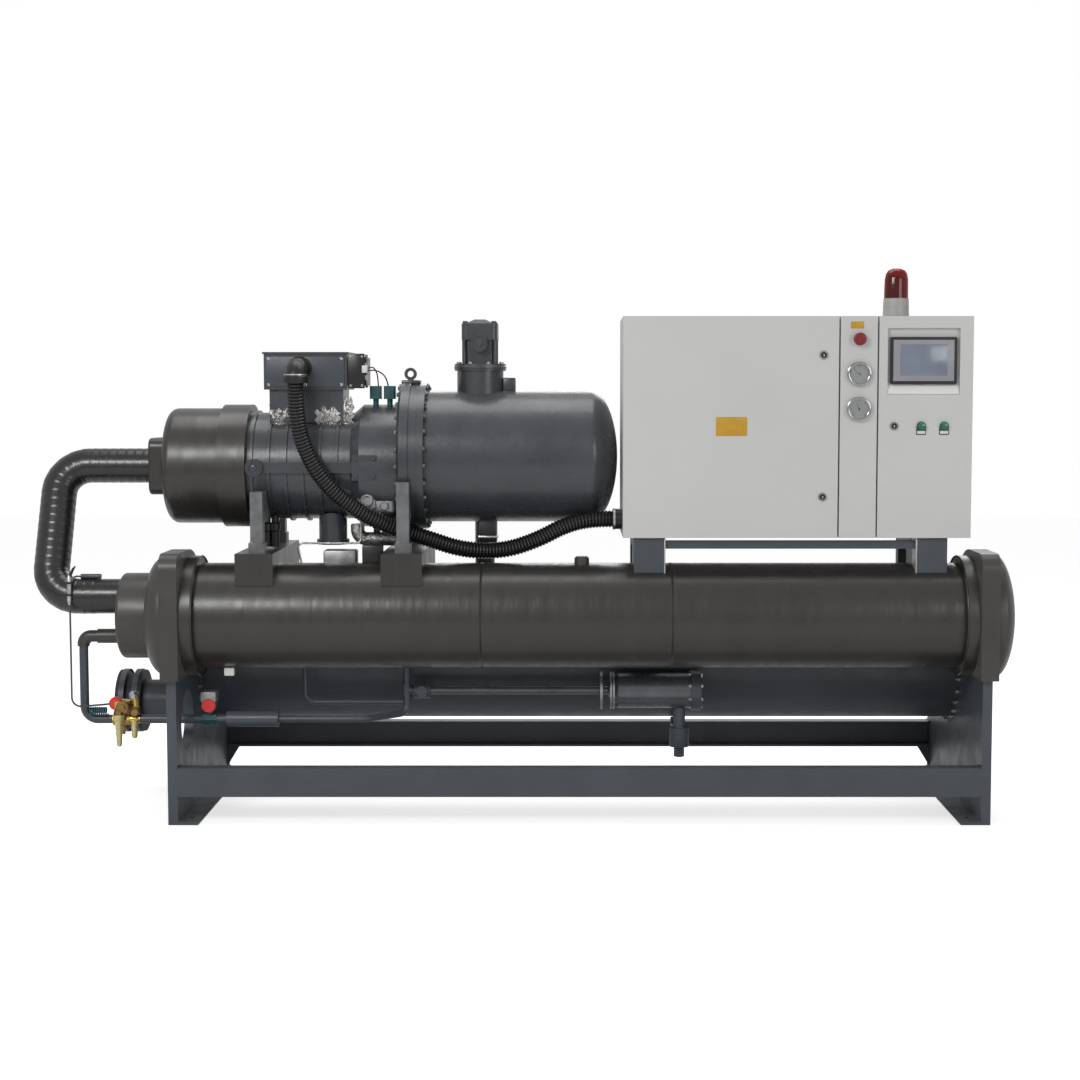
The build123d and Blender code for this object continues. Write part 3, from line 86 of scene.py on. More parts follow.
def surface(name, color, rough, metal=0.0, tone=0.12, tone_scale=6.0, stretch=(1, 1, 1), rough_spread=0.08,
            grain=900.0, bump=0.06, depth=0.0004, waves=0.0, wave_scale=12.0, coat=0.0, sheen=0.0, dust=None,
            spots=None):
    """A surface whose colour drifts, whose gloss varies and which has a fine grain; dust lies on what faces up."""
    made, nodes, links, shader = tree_of(name)
    place = nodes.new("ShaderNodeTexCoord").outputs["Object"]
    drift = noise(nodes, links, place, tone_scale, 5, stretch)
    ramp = nodes.new("ShaderNodeMix")
    ramp.data_type = "RGBA"
    ramp.inputs["A"].default_value = [c * (1 - tone) for c in color] + [1]
    ramp.inputs["B"].default_value = [min(1, c * (1 + tone)) for c in color] + [1]
    links.new(spread_of(nodes, links, drift, 0, 1), ramp.inputs["Factor"])
    shade = ramp.outputs["Result"]
    for tint, cover, scale in ([spots] if spots else []):
        cell = noise(nodes, links, place, scale, 6)
        mask = nodes.new("ShaderNodeMapRange")
        mask.inputs["From Min"].default_value = 0.62
        mask.inputs["From Max"].default_value = 0.7
        mask.inputs["To Max"].default_value = cover
        links.new(cell, mask.inputs["Value"])
        layer = nodes.new("ShaderNodeMix")
        layer.data_type = "RGBA"
        links.new(mask.outputs["Result"], layer.inputs["Factor"])
        links.new(shade, layer.inputs["A"])
        layer.inputs["B"].default_value = [*tint, 1]
        shade = layer.outputs["Result"]
    if dust:
        up = nodes.new("ShaderNodeSeparateXYZ")
        links.new(nodes.new("ShaderNodeNewGeometry").outputs["Normal"], up.inputs["Vector"])
        fall = nodes.new("ShaderNodeMapRange")
        fall.inputs["From Min"].default_value = 0.35
        fall.inputs["To Max"].default_value = dust[1]
        links.new(up.outputs["Z"], fall.inputs["Value"])
        cloud = nodes.new("ShaderNodeMath")
        cloud.operation = "MULTIPLY"
        links.new(fall.outputs["Result"], cloud.inputs[0])
        links.new(spread_of(nodes, links, noise(nodes, links, place, 22, 6), 0.4, 1), cloud.inputs[1])
        layer = nodes.new("ShaderNodeMix")
        layer.data_type = "RGBA"
        links.new(cloud.outputs["Value"], layer.inputs["Factor"])
        links.new(shade, layer.inputs["A"])
        layer.inputs["B"].default_value = [*dust[0], 1]
        shade = layer.outputs["Result"]
    links.new(shade, shader.inputs["Base Color"])
    gloss = noise(nodes, links, place, tone_scale * 3, 5, stretch)
    links.new(spread_of(nodes, links, gloss, rough - rough_spread, rough + rough_spread), shader.inputs["Roughness"])
    shader.inputs["Metallic"].default_value = metal
    shader.inputs["Coat Weight"].default_value = coat
    shader.inputs["Coat Roughness"].default_value = 0.25
    shader.inputs["Sheen Weight"].default_value = sheen
    fine = nodes.new("ShaderNodeBump")
    fine.inputs["Strength"].default_value = bump
    fine.inputs["Distance"].default_value = depth
    links.new(noise(nodes, links, place, grain, 3), fine.inputs["Height"])
    normal = fine.outputs["Normal"]
    if waves:
        soft = nodes.new("ShaderNodeBump")
        soft.inputs["Strength"].default_value = 1
        soft.inputs["Distance"].default_value = waves
        links.new(noise(nodes, links, place, wave_scale, 2, stretch), soft.inputs["Height"])
        links.new(normal, soft.inputs["Normal"])
        normal = soft.outputs["Normal"]
    links.new(normal, shader.inputs["Normal"])
    return made


DUST = (0.32, 0.31, 0.3)
paint = surface("frame_paint", (0.062, 0.072, 0.086), 0.4, tone=0.1, bump=0.1, dust=(DUST, 0.3))
cast_paint = surface("cast_paint", (0.044, 0.049, 0.057), 0.3, tone=0.16, grain=420, bump=0.22, waves=0.0006,
                     wave_scale=45, coat=0.35, dust=(DUST, 0.2))
pipe_paint = surface("pipe_paint", (0.06, 0.072, 0.088), 0.34, tone=0.12, bump=0.08, dust=(DUST, 0.2))
foam = surface("foam_insulation", (0.024, 0.021, 0.018), 0.35, tone=0.16, tone_scale=5, stretch=(2.2, 0.5, 0.5),
               grain=700, bump=0.1, waves=0.0034, wave_scale=10, coat=0.45, dust=(DUST, 0.05))
foam_end = surface("foam_cover", (0.042, 0.037, 0.033), 0.42, tone=0.16, grain=700, bump=0.16, waves=0.002,
                   wave_scale=12, coat=0.25, sheen=0.1, dust=(DUST, 0.1))
hose_wrap = surface("hose_wrap", (0.012, 0.011, 0.011), 0.27, tone=0.2, tone_scale=20, grain=700, bump=0.06, coat=0.4)
cabinet_grey = surface("cabinet_powder_coat", (0.6, 0.6, 0.59), 0.46, tone=0.02, tone_scale=3, grain=1400, bump=0.1)
zinc = surface("zinc_plate", (0.55, 0.55, 0.52), 0.34, metal=1, tone=0.12, tone_scale=60, bump=0.1)
steel = surface("bolt_steel", (0.5, 0.5, 0.49), 0.3, metal=1, tone=0.2, tone_scale=80, bump=0.1)
dark_steel = surface("dark_steel", (0.16, 0.165, 0.17), 0.34, metal=0.8, tone=0.2, tone_scale=80, bump=0.12)
drier_paint = surface("drier_paint", (0.12, 0.13, 0.14), 0.24, metal=0.45, tone=0.2, tone_scale=9, bump=0.06, coat=0.2)
# The cabinet's powder coat made lighter for the pocket's sloped sill: painted highlight for the top light falling on
# the slope.
sill_painted_highlight = surface("sill_coat_painted_highlight", (0.8, 0.8, 0.79), 0.46, tone=0.02, tone_scale=3, grain=1400, bump=0.1)
# Pale grey for thin plates on the stands' edges: painted highlight on the paint's edges.
painted_edge_highlight = surface("painted_edge_highlight", (0.5, 0.5, 0.49), 0.45, metal=0.6, tone=0.15, tone_scale=50, bump=0.1)
cast_metal = surface("cast_aluminium", (0.36, 0.36, 0.37), 0.42, metal=0.7, tone=0.22, tone_scale=45, grain=380,
                     bump=0.35)
feet_paint = surface("feet_paint", (0.17, 0.175, 0.18), 0.42, metal=0.3, tone=0.25, tone_scale=30, grain=380, bump=0.3)
foil = surface("foil_tape", (0.42, 0.41, 0.4), 0.3, metal=0.85, tone=0.3, tone_scale=90, grain=260, bump=0.9,
               depth=0.002, waves=0.004, wave_scale=60)
black = surface("black_plastic", (0.012, 0.012, 0.012), 0.34, tone=0.2, bump=0.1)
conduit_black = surface("conduit_black", (0.012, 0.012, 0.013), 0.22, tone=0.2, bump=0.05, coat=0.3)
rubber = surface("black_rubber", (0.018, 0.018, 0.018), 0.55, tone=0.2, bump=0.2)
# Near black for the lock holes and keyways: painted shade inside the holes.
painted_hole_shade = surface("hole_shade_black", (0.006, 0.006, 0.006), 0.7, bump=0.1)
brass = surface("brass", (0.62, 0.43, 0.13), 0.27, metal=1, tone=0.18, tone_scale=70, bump=0.12)
copper = surface("copper_tube", (0.58, 0.3, 0.18), 0.3, metal=1, tone=0.2, tone_scale=60, bump=0.1)
bronze = surface("cast_brass", (0.3, 0.19, 0.07), 0.38, metal=0.9, tone=0.25, tone_scale=60, grain=500, bump=0.3)
yellow_cap = surface("yellow_cap", (0.66, 0.55, 0.28), 0.3, metal=0.5, tone=0.14, tone_scale=80, bump=0.08)
red_plastic = surface("red_plastic", (0.22, 0.006, 0.008), 0.32, tone=0.1, bump=0.06, coat=0.25)
solenoid_red = surface("solenoid_red", (0.75, 0.035, 0.03), 0.34, tone=0.1, bump=0.06, coat=0.2)
dull_red = surface("dull_red", (0.2, 0.02, 0.018), 0.42, tone=0.2, tone_scale=50, bump=0.1)
teal = surface("teal_paint", (0.02, 0.09, 0.1), 0.36, tone=0.25, tone_scale=40, bump=0.1)
white = surface("white_plastic", (0.72, 0.72, 0.7), 0.4, tone=0.04, bump=0.08)
label = surface("blank_label", (0.8, 0.8, 0.79), 0.5, tone=0.03, tone_scale=40, bump=0.05)
amber = surface("amber_plate", (0.56, 0.31, 0.02), 0.42, tone=0.08, tone_scale=40, bump=0.08)
chrome = surface("chrome_rim", (0.42, 0.42, 0.42), 0.12, metal=1, tone=0.05, bump=0.02)
bezel = surface("bezel", (0.012, 0.012, 0.015), 0.32, tone=0.1, bump=0.1)
panel_grey = surface("panel_face", (0.3, 0.3, 0.33), 0.35, tone=0.05, tone_scale=20, bump=0.06)
screen = surface("screen", (0.19, 0.22, 0.28), 0.14, tone=0.12, tone_scale=14, bump=0.01, coat=0.5)
dial_white = surface("dial_white", (0.34, 0.34, 0.35), 0.5, tone=0.05, bump=0.03)
lamp_green = surface("lamp_green", (0.008, 0.15, 0.08), 0.2, tone=0.3, tone_scale=90, bump=0.05, coat=0.5)
lamp_shade = surface("lamp_shade", (0.02, 0.035, 0.028), 0.35, tone=0.2, tone_scale=90, bump=0.05)
beacon_grey = surface("beacon_grey", (0.42, 0.42, 0.4), 0.42, tone=0.05, bump=0.1)
weld = surface("weld_bead", (0.055, 0.062, 0.072), 0.42, tone=0.2, tone_scale=60, grain=300, bump=0.5, depth=0.001)
cable_black = surface("cable_jacket", (0.014, 0.014, 0.014), 0.42, tone=0.15, bump=0.1)


def see_through(name, color, rough, weight, index=1.45):
    made, nodes, links, shader = tree_of(name)
    place = nodes.new("ShaderNodeTexCoord").outputs["Object"]
    shader.inputs["Base Color"].default_value = [*color, 1]
    links.new(spread_of(nodes, links, noise(nodes, links, place, 60), rough * 0.7, rough * 1.3),
              shader.inputs["Roughness"])
    shader.inputs["Transmission Weight"].default_value = weight
    shader.inputs["IOR"].default_value = index
    return made


red_lens = see_through("red_lens", (0.3, 0.003, 0.003), 0.08, 0.8)
clear = see_through("clear_glass", (0.95, 0.96, 0.96), 0.03, 0.97)

SLOT_LOOKS = {
    "frame_paint": paint, "compressor_paint": cast_paint, "pipe_paint": pipe_paint, "insulation": foam,
    "black_rubber": rubber, "cabinet_paint": cabinet_grey, "zinc": zinc, "gauge_rim": chrome, "red_lens": red_lens,
    "screen_frame": bezel, "green_lamp": lamp_green, "red_plastic": red_plastic, "brass": brass,
}
NODE_LOOKS = {
    "evaporator_left_head": foam_end, "evaporator_right_head": foam_end, "left_tube_sheet": foam_end,
    "right_tube_sheet": foam_end, "beacon_base": beacon_grey, "solenoid_coils": teal, "conduit_fittings": black,
    "filter_drier": drier_paint, "solenoid_valve": teal, "suction_line": hose_wrap, "compressor_feet": feet_paint,
    "oil_supply_pipe": foil, "suction_end": foam,
}
for row in frame["record"]["subparts"]:
    node = row["node"]
    shown = frame["nodes"][node]
    shown.data.materials.clear()
    shown.data.materials.append(NODE_LOOKS.get(node, SLOT_LOOKS[row["material_slot"]]))


# Mesh code


class Shape:
    """A mesh that is put together from turned, boxed and swept forms, all in millimetres."""

    def __init__(self):
        self.bm = bmesh.new()

    def turned(self, at, axis, profile, sides=32, start=0.0, closed=True):
        """A profile of (distance along the axis, radius) turned about the axis."""
        axis = Vector(axis).normalized()
        across = axis.orthogonal().normalized() if abs(axis.z) < 0.9 else X
        other = axis.cross(across)
        rings = []
        for along, radius in profile:
            centre = Vector(at) + axis * along
            rings.append([self.bm.verts.new(centre + (across * math.cos(a) + other * math.sin(a)) * radius)
                          for a in (start + i * math.tau / sides for i in range(sides))])
        for low, high in zip(rings, rings[1:]):
            for i in range(sides):
                j = (i + 1) % sides
                self.bm.faces.new((low[i], low[j], high[j], high[i]))
        if closed:
            self.bm.faces.new(rings[0][::-1])
            self.bm.faces.new(rings[-1])
        return self

    def hexagon(self, at, axis, across_corners, height, turn=0.0):
        """A hexagon head with a chamfered top."""
        edge = across_corners * 0.12
        return self.turned(at, axis, [(0, across_corners / 2), (height - edge * 0.6, across_corners / 2),
                                      (height, across_corners / 2 - edge)], 6, turn)

    def bolt(self, at, axis, size, turn=None, nut=False):
        """A washer, a hexagon and, on a nut, the end of its stud."""
        self.turned(at, axis, [(0, size * 1.1), (size * 0.18, size * 1.1)], 20)
        turn = random.uniform(0, 1) if turn is None else turn
        self.hexagon(Vector(at) + Vector(axis) * size * 0.18, axis, size * 1.9, size * 0.75, turn)
        if nut:
            self.turned(Vector(at) + Vector(axis) * size * 0.9, axis, [(0, size * 0.5), (size * 0.5, size * 0.5),
                                                                     (size * 0.6, size * 0.4)], 16)
        return self

    def bolt_ring(self, centre, axis, radius, count, size, start=0.0, nut=False):
        axis = Vector(axis)
        across = Y if abs(axis.x) > 0.9 else X
        other = axis.cross(across)
        for i in range(count):
            angle = start + i * math.tau / count
            at = Vector(centre) + (across * math.cos(angle) + other * math.sin(angle)) * radius
            self.bolt(at, axis, size, nut=nut)
        return self

    def box(self, low, high, edge=1.0, steps=2):
        """A box with rounded edges."""
        size = Vector(high) - Vector(low)
        part = bmesh.new()
        bmesh.ops.create_cube(part, size=1, matrix=Matrix.Translation((Vector(low) + Vector(high)) / 2)
                              @ Matrix.Diagonal((*size, 1)))
        if edge:
            bmesh.ops.bevel(part, geom=part.edges[:], offset=edge, segments=steps, profile=0.5, affect="EDGES")
        mesh = bpy.data.meshes.new("part")
        part.to_mesh(mesh)
        part.free()
        self.bm.from_mesh(mesh)
        bpy.data.meshes.remove(mesh)
        return self

    def tube(self, points, radius, sides=12, ends=True):
        """A round tube through points; radius is one number or one for each point."""
        points = [Vector(p) for p in points]
        radii = radius if hasattr(radius, "__len__") else [radius] * len(points)
        rings = []
        across = None
        for i, point in enumerate(points):
            ahead = (points[min(i + 1, len(points) - 1)] - points[max(i - 1, 0)]).normalized()
            across = ahead.orthogonal() if across is None else across - ahead * across.dot(ahead)
            across.normalize()
            other = ahead.cross(across)
            rings.append([self.bm.verts.new(point + (across * math.cos(a) + other * math.sin(a)) * radii[i])
                          for a in (k * math.tau / sides for k in range(sides))])
        for low, high in zip(rings, rings[1:]):
            for i in range(sides):
                j = (i + 1) % sides
                self.bm.faces.new((low[i], low[j], high[j], high[i]))
        if ends:
            self.bm.faces.new(rings[0][::-1])
            self.bm.faces.new(rings[-1])
        return self

    def torus(self, centre, axis, radius, thickness, sides=64, round_sides=10, wobble=0.0):
        """A closed ring; wobble makes it as uneven as a weld bead."""
        axis = Vector(axis).normalized()
        across = axis.orthogonal().normalized()
        other = axis.cross(across)
        rings = []
        for i in range(sides):
            a = i * math.tau / sides
            out = across * math.cos(a) + other * math.sin(a)
            thick = thickness * (1 + random.uniform(-wobble, wobble))
            rings.append([self.bm.verts.new(Vector(centre) + out * (radius + thick * math.cos(b)) + axis * thick
                                            * math.sin(b))
                          for b in (k * math.tau / round_sides for k in range(round_sides))])
        for i in range(sides):
            low, high = rings[i], rings[(i + 1) % sides]
            for k in range(round_sides):
                m = (k + 1) % round_sides
                self.bm.faces.new((low[k], low[m], high[m], high[k]))
        return self

    def put(self, name, material, slot, body="chiller"):
        """Makes the object in metres, with sharp edges kept sharp."""
        bmesh.ops.scale(self.bm, vec=(MM, MM, MM), verts=self.bm.verts)
        bmesh.ops.recalc_face_normals(self.bm, faces=self.bm.faces)
        for face in self.bm.faces:
            face.smooth = True
        for edge in self.bm.edges:
            if len(edge.link_faces) == 2 and edge.calc_face_angle(0) > SHARP:
                edge.smooth = False
        mesh = bpy.data.meshes.new(name)
        self.bm.to_mesh(mesh)
        self.bm.free()
        made = bpy.data.objects.new(name, mesh)
        bpy.context.scene.collection.objects.link(made)
        mesh.materials.append(material)
        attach(made, body)
        return made


def smooth_line(points, steps=10, order=3):
    """Points in millimetres along the NURBS curve that has these control points."""
    data = bpy.data.curves.new("line", "CURVE")
    data.dimensions = "3D"
    spline = data.splines.new("NURBS")
    spline.points.add(len(points) - 1)
    for point, place in zip(spline.points, points):
        point.co = (*place, 1)
    spline.order_u = order
    spline.use_endpoint_u = True
    spline.resolution_u = steps
    holder = bpy.data.objects.new("line", data)
    bpy.context.scene.collection.objects.link(holder)
    bpy.context.view_layer.update()
    mesh = bpy.data.meshes.new_from_object(holder.evaluated_get(bpy.context.evaluated_depsgraph_get()))
    line = [v.co.copy() for v in mesh.vertices]
    bpy.data.objects.remove(holder)
    bpy.data.curves.remove(data)
    bpy.data.meshes.remove(mesh)
    return line


def evenly(line, pitch):
    """The same line with its points a fixed pitch apart."""
    lengths = [0.0]
    for a, b in zip(line, line[1:]):
        lengths.append(lengths[-1] + (b - a).length)
    count = round(lengths[-1] / pitch)
    spaced, k = [], 0
    for i in range(count + 1):
        want = lengths[-1] * i / count
        while k < len(line) - 2 and lengths[k + 1] < want:
            k += 1
        span = max(lengths[k + 1] - lengths[k], 1e-9)
        spaced.append(line[k].lerp(line[k + 1], min(1, (want - lengths[k]) / span)))
    return spaced, lengths[-1]


def bent(corners, radius, step=4.0):
    """A rigid pipe's line in millimetres: straight runs joined by arcs."""
    corners = [Vector(c) for c in corners]
    line = [corners[0]]
    for before, corner, after in zip(corners, corners[1:], corners[2:]):
        back, ahead = (before - corner).normalized(), (after - corner).normalized()
        half = back.angle(ahead) / 2
        reach = radius / math.tan(half)
        middle = corner + (back + ahead).normalized() * radius / math.sin(half)
        start, turn = corner + back * reach - middle, math.pi - 2 * half
        spin = start.cross(corner + ahead * reach - middle).normalized()
        for i in range(13):
            line.append(middle + Matrix.Rotation(turn * i / 12, 3, spin) @ start)
    return evenly(line + [corners[-1]], step)[0]


# The camera, the floor and the light

camera_data = bpy.data.cameras.new("camera")
camera_data.lens = 62.17
camera_data.sensor_width = 36
camera_data.shift_x = -0.0296
camera_data.clip_end = 60
camera = bpy.data.objects.new("camera", camera_data)
camera.location = (-0.023, -6.167, 1.336)
camera.rotation_euler = (math.radians(90 - 4.446), 0, 0)
bpy.context.scene.collection.objects.link(camera)
bpy.context.scene.camera = camera
bpy.context.scene.view_settings.view_transform = "Standard"


def lamp(name, place, aim, size, power):
    data = bpy.data.lights.new(name, "AREA")
    data.shape = "RECTANGLE"
    data.size, data.size_y = size
    data.energy = power
    made = bpy.data.objects.new(name, data)
    made.location = place
    made.rotation_euler = (Vector(aim) - Vector(place)).to_track_quat("-Z", "Y").to_euler()
    bpy.context.scene.collection.objects.link(made)


lamp("key", (-2.6, -4.6, 3.4), (-0.2, 0, 0.9), (2.4, 1.2), 105)
lamp("fill", (3.4, -4.2, 2.2), (0.3, 0, 0.9), (2.2, 1.6), 34)
lamp("top", (0, 0.4, 4.4), (0, -0.1, 0.8), (4.2, 2.0), 60)
lamp("back", (0.8, 4.4, 3.0), (0, 0, 0.9), (3.6, 2.0), 50)


def seen_rays(nodes, links):
    """1 for the rays that see the backdrop itself: the camera's, glossy and transmitted ones."""
    rays = nodes.new("ShaderNodeLightPath")
    first, second = nodes.new("ShaderNodeMath"), nodes.new("ShaderNodeMath")
    first.operation = second.operation = "MAXIMUM"
    links.new(rays.outputs["Is Camera Ray"], first.inputs[0])
    links.new(rays.outputs["Is Transmission Ray"], first.inputs[1])
    links.new(first.outputs["Value"], second.inputs[0])
    soft = nodes.new("ShaderNodeMath")
    soft.operation = "MULTIPLY"
    soft.inputs[1].default_value = 0.35
    links.new(rays.outputs["Is Glossy Ray"], soft.inputs[0])
    links.new(soft.outputs["Value"], second.inputs[1])
    return second.outputs["Value"]


world = bpy.data.worlds.new("studio")
bpy.context.scene.world = world
world.use_nodes = True
world_nodes, world_links = world.node_tree.nodes, world.node_tree.links
strength = world_nodes.new("ShaderNodeMapRange")
strength.inputs["To Min"].default_value = 0.34
strength.inputs["To Max"].default_value = 1.0
world_links.new(seen_rays(world_nodes, world_links), strength.inputs["Value"])
world_links.new(strength.outputs["Result"], world_nodes["Background"].inputs["Strength"])
world_nodes["Background"].inputs["Color"].default_value = (1, 1, 1, 1)

floor_mesh = bpy.data.meshes.new("floor")
floor_bm = bmesh.new()
bmesh.ops.create_grid(floor_bm, x_segments=8, y_segments=8, size=14)
floor_bm.to_mesh(floor_mesh)
floor_bm.free()
floor = bpy.data.objects.new("floor", floor_mesh)
bpy.context.scene.collection.objects.link(floor)
floor_paint, floor_nodes, floor_links, floor_shader = tree_of("floor_paint")
floor_shader.inputs["Base Color"].default_value = (0.95, 0.95, 0.95, 1)
floor_shader.inputs["Roughness"].default_value = 0.7
floor_path = floor_nodes.new("ShaderNodeLightPath")
floor_glow = floor_nodes.new("ShaderNodeMapRange")
floor_glow.inputs["To Max"].default_value = 0.62
floor_links.new(floor_path.outputs["Is Camera Ray"], floor_glow.inputs["Value"])
floor_shader.inputs["Emission Color"].default_value = (1, 1, 1, 1)
floor_links.new(floor_glow.outputs["Result"], floor_shader.inputs["Emission Strength"])
floor_mesh.materials.append(floor_paint)

# The conduit and the two thin wires beside it


def cord_line(route, steps=24):
    return smooth_line(route, steps)


CONDUIT_RADIUS = 27.25
CONDUIT_ROUTE = [
    (-887, -316, 1376), (-887, -316, 1262), (-856, -319, 1155), (-803, -318, 1064), (-722, -310, 987),
    (-613, -284, 925), (-490, -250, 884), (-370, -236, 842), (-240, -234, 840), (-132, -240, 876),
    (-46, -252, 923), (36, -262, 944), (106, -262, 944),
]
RIB_PITCH = 10.5
conduit_points, conduit_length = evenly(cord_line(CONDUIT_ROUTE), RIB_PITCH / 5)
corrugated = Shape()
corrugated.tube(conduit_points, [CONDUIT_RADIUS - (0, 0.3, 1.6, 4.2, 1.6)[i % 5]
                                 for i in range(len(conduit_points))], 24)
conduit = corrugated.put("corrugated_conduit", conduit_black, "black_rubber")
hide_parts("conduit")


def wire(name, route, radius, material):
    """A thin wire that goes back into the object."""
    points, length = evenly(cord_line(route, 12), 2.0)
    made = Shape().tube(points, radius, 10).put(name, material, "black_rubber")


wire("coil_wire_red", [(-681, -196, 1418), (-668, -196, 1424), (-655, -190, 1424), (-646, -172, 1404),
                       (-645, -158, 1374), (-645, -150, 1362)], 2.2, dull_red)
wire("coil_wire_black", [(-681, -188, 1412), (-662, -190, 1416), (-640, -180, 1412), (-622, -160, 1396),
                         (-616, -150, 1376), (-614, -140, 1362)], 2.2, cable_black)
wire("solenoid_lead", [(-1157, -282, 376), (-1140, -290, 384), (-1120, -300, 402), (-1106, -312, 430),
                       (-1104, -324, 452), (-1104, -326, 468)], 2.0, cable_black)

# The frame and the condenser

CONDENSER = (108, 438)
nuts = Shape()
for x, axis in ((-1250, 1), (1250, -1), (-1280, -1)):
    nuts.bolt_ring((x, *CONDENSER), (axis, 0, 0), 200, 28, 8, math.radians(3.2), nut=True)
nuts.bolt_ring((1304, *CONDENSER), (1, 0, 0), 193, 28, 8, math.radians(3.2))
nuts.put("condenser_nuts", steel, "zinc")

beads = Shape()
for x, side in ((-1250, 1), (1250, -1)):
    beads.torus((x + side * 1.5, *CONDENSER), X, 189, 4.5, 180, 8, 0.22)
    for y in (-420, 420):
        for z in (89, 179):
            line = [(x + side, y - 25 + k * 5, z) for k in range(11)]
            beads.tube(line, [3.2 * (1 + random.uniform(-0.2, 0.2)) for _ in line], 8)
    for y in (-425, 425):
        line = [(x + side * 1.5, y - 18 + k * 3.6, 10.5) for k in range(11)]
        beads.tube(line, 3, 8)
for z in (303, 573):
    beads.torus((-1341, CONDENSER[0], z), X, 71, 4, 90, 8, 0.25)
beads.put("weld_beads", weld, "frame_paint")

coupling = Shape()
for x in (-1541, -1497):
    coupling.turned((x, 108, 303), X, [(0, 104.4), (0, 107), (18, 107), (18, 104.4)], 64, closed=False)
for z, y in ((303, 108 - 116), (303, 108 + 116)):
    coupling.box((-1540, y - 12, z - 13), (-1480, y + 12, z + 13), 4)
coupling.put("coupling_bands", pipe_paint, "frame_paint")
Shape().bolt((-1510, -20, 303), (0, -1, 0), 9).bolt((-1510, 236, 303), (0, 1, 0), 9).put(
    "coupling_bolts", steel, "zinc")

# The suction line's wrapping, and the seams of the evaporator's insulation

SUCTION_ROUTE = [(-1383, -95, 1107), (-1683, -95, 1107), (-1683, -275, 699), (-1530, -275, 699)]
wrap_line = bent(SUCTION_ROUTE, 95, 3.5)
WRAP_TURN = 8
wrapping = Shape()
wrapping.tube(wrap_line, [55.3 + 0.9 * (i % WRAP_TURN) / WRAP_TURN for i in range(len(wrap_line))], 48, ends=False)
wrapping.put("suction_wrapping", hose_wrap, "insulation")

EVAPORATOR = (-275, 638)
seams = Shape()
for x in (-307, 289):
    seams.turned((x, *EVAPORATOR), X, [(-4, 167), (-1.5, 168.6), (0, 167.2), (1.5, 168.6), (4, 167)], 120,
                 closed=False)
for x in (-1199, 1199):
    seams.turned((x, *EVAPORATOR), X, [(-2.5, 190), (0, 191.5), (2.5, 190)], 120, closed=False)
seams.put("insulation_seams", foam, "insulation")
stub = Shape().turned((8, -285, 796), Z, [(0, 24), (26, 23), (31, 18), (32, 6)], 36)
stub.put("shell_stub", foam_end, "insulation")


def on_shell(shape, low_x, high_x, centre, radius, low_angle, high_angle, thick):
    """A thin curved plate on a shell along X; its angles are in degrees, from straight ahead to the top."""
    bm = shape.bm
    rows = []
    for i in range(13):
        a = math.radians(low_angle + (high_angle - low_angle) * i / 12)
        ray = Vector((0, -math.cos(a), math.sin(a)))
        rows.append([bm.verts.new(Vector((x, *centre)) + ray * r)
                     for x, r in ((low_x, radius), (low_x, radius + thick), (high_x, radius + thick), (high_x, radius))])
    for low, high in zip(rows, rows[1:]):
        for k in range(4):
            bm.faces.new((low[k], low[(k + 1) % 4], high[(k + 1) % 4], high[k]))
    bm.faces.new(rows[0][::-1])
    bm.faces.new(rows[-1])


tags = Shape()
on_shell(tags, -1275, -1256, EVAPORATOR, 210.5, 58, 71, 1)
on_shell(tags, 1256, 1275, EVAPORATOR, 210.5, 60, 70, 1)
tags.put("blank_tags", label, "cabinet_paint")

# The compressor

COMPRESSOR_Y, MOTOR_Z, SEPARATOR_Z = -95, 1107, 1138
flange_bolts = Shape()
flange_bolts.bolt_ring((-491, COMPRESSOR_Y, SEPARATOR_Z), (1, 0, 0), 225, 26, 8, 0.11)
flange_bolts.bolt_ring((-575, COMPRESSOR_Y, SEPARATOR_Z), (-1, 0, 0), 226, 26, 8, 0.11)
flange_bolts.put("flange_bolts", dark_steel, "zinc")
pads = Shape()
for side in (-1, 1):
    for dx in (-28, 28):
        for dz in (-28, 28):
            pads.bolt((-677 + dx, COMPRESSOR_Y + side * 197, MOTOR_Z + dz), (0, side, 0), 7)
    pads.turned((-1026, COMPRESSOR_Y + side * 199, MOTOR_Z), (0, side, 0),
                [(0, 26), (2, 26), (2, 21), (4, 20), (4, 16), (1, 15), (1, 9), (5, 9), (6, 7)], 40)
pads.put("pad_bolts", cast_paint, "compressor_paint")
foot_bolts = Shape()
for x, z in ((-1011, 873), (-553, 873)):
    for y in (-341, 151):
        foot_bolts.bolt((x - 17, y, z), (0, 0, 1), 6)
foot_bolts.put("foot_bolts", steel, "zinc")

valve = Shape()
VALVE = (-320, COMPRESSOR_Y)
for dx in (-46, 46):
    for dy in (-46, 46):
        valve.turned((VALVE[0] + dx, VALVE[1] + dy, 1565), Z, [(0, 8), (7, 8), (8, 7), (8, 4.5), (3, 4.5)], 16)
        valve.tube([(VALVE[0] + dx * 1.08, VALVE[1] + dy * 1.08, z) for z in (1436, 1514)], 6.5, 14)
valve.turned((-320, -177, 1500), (0, -1, 0), [(-3, 21.8), (-3, 27), (1.5, 27), (2.5, 25.5), (2.5, 22.5), (0.4, 21.5)],
             36, closed=False)
valve.hexagon((-320, -177, 1500), (0, -1, 0), 25, 6)
valve.turned((*VALVE, 1419), Z, [(0, 83.2), (1.5, 84.6), (9, 84.6), (10.5, 83.2)], 72, closed=False)
valve.box((-247, -118, 1346), (-205, -98, 1392), 5)
valve.put("valve_hardware", cast_paint, "compressor_paint")
neck_bolts = Shape()
neck_bolts.bolt_ring((*VALVE, 1436), (0, 0, 1), 74, 8, 7, 0.39)
neck_bolts.put("neck_bolts", steel, "zinc")

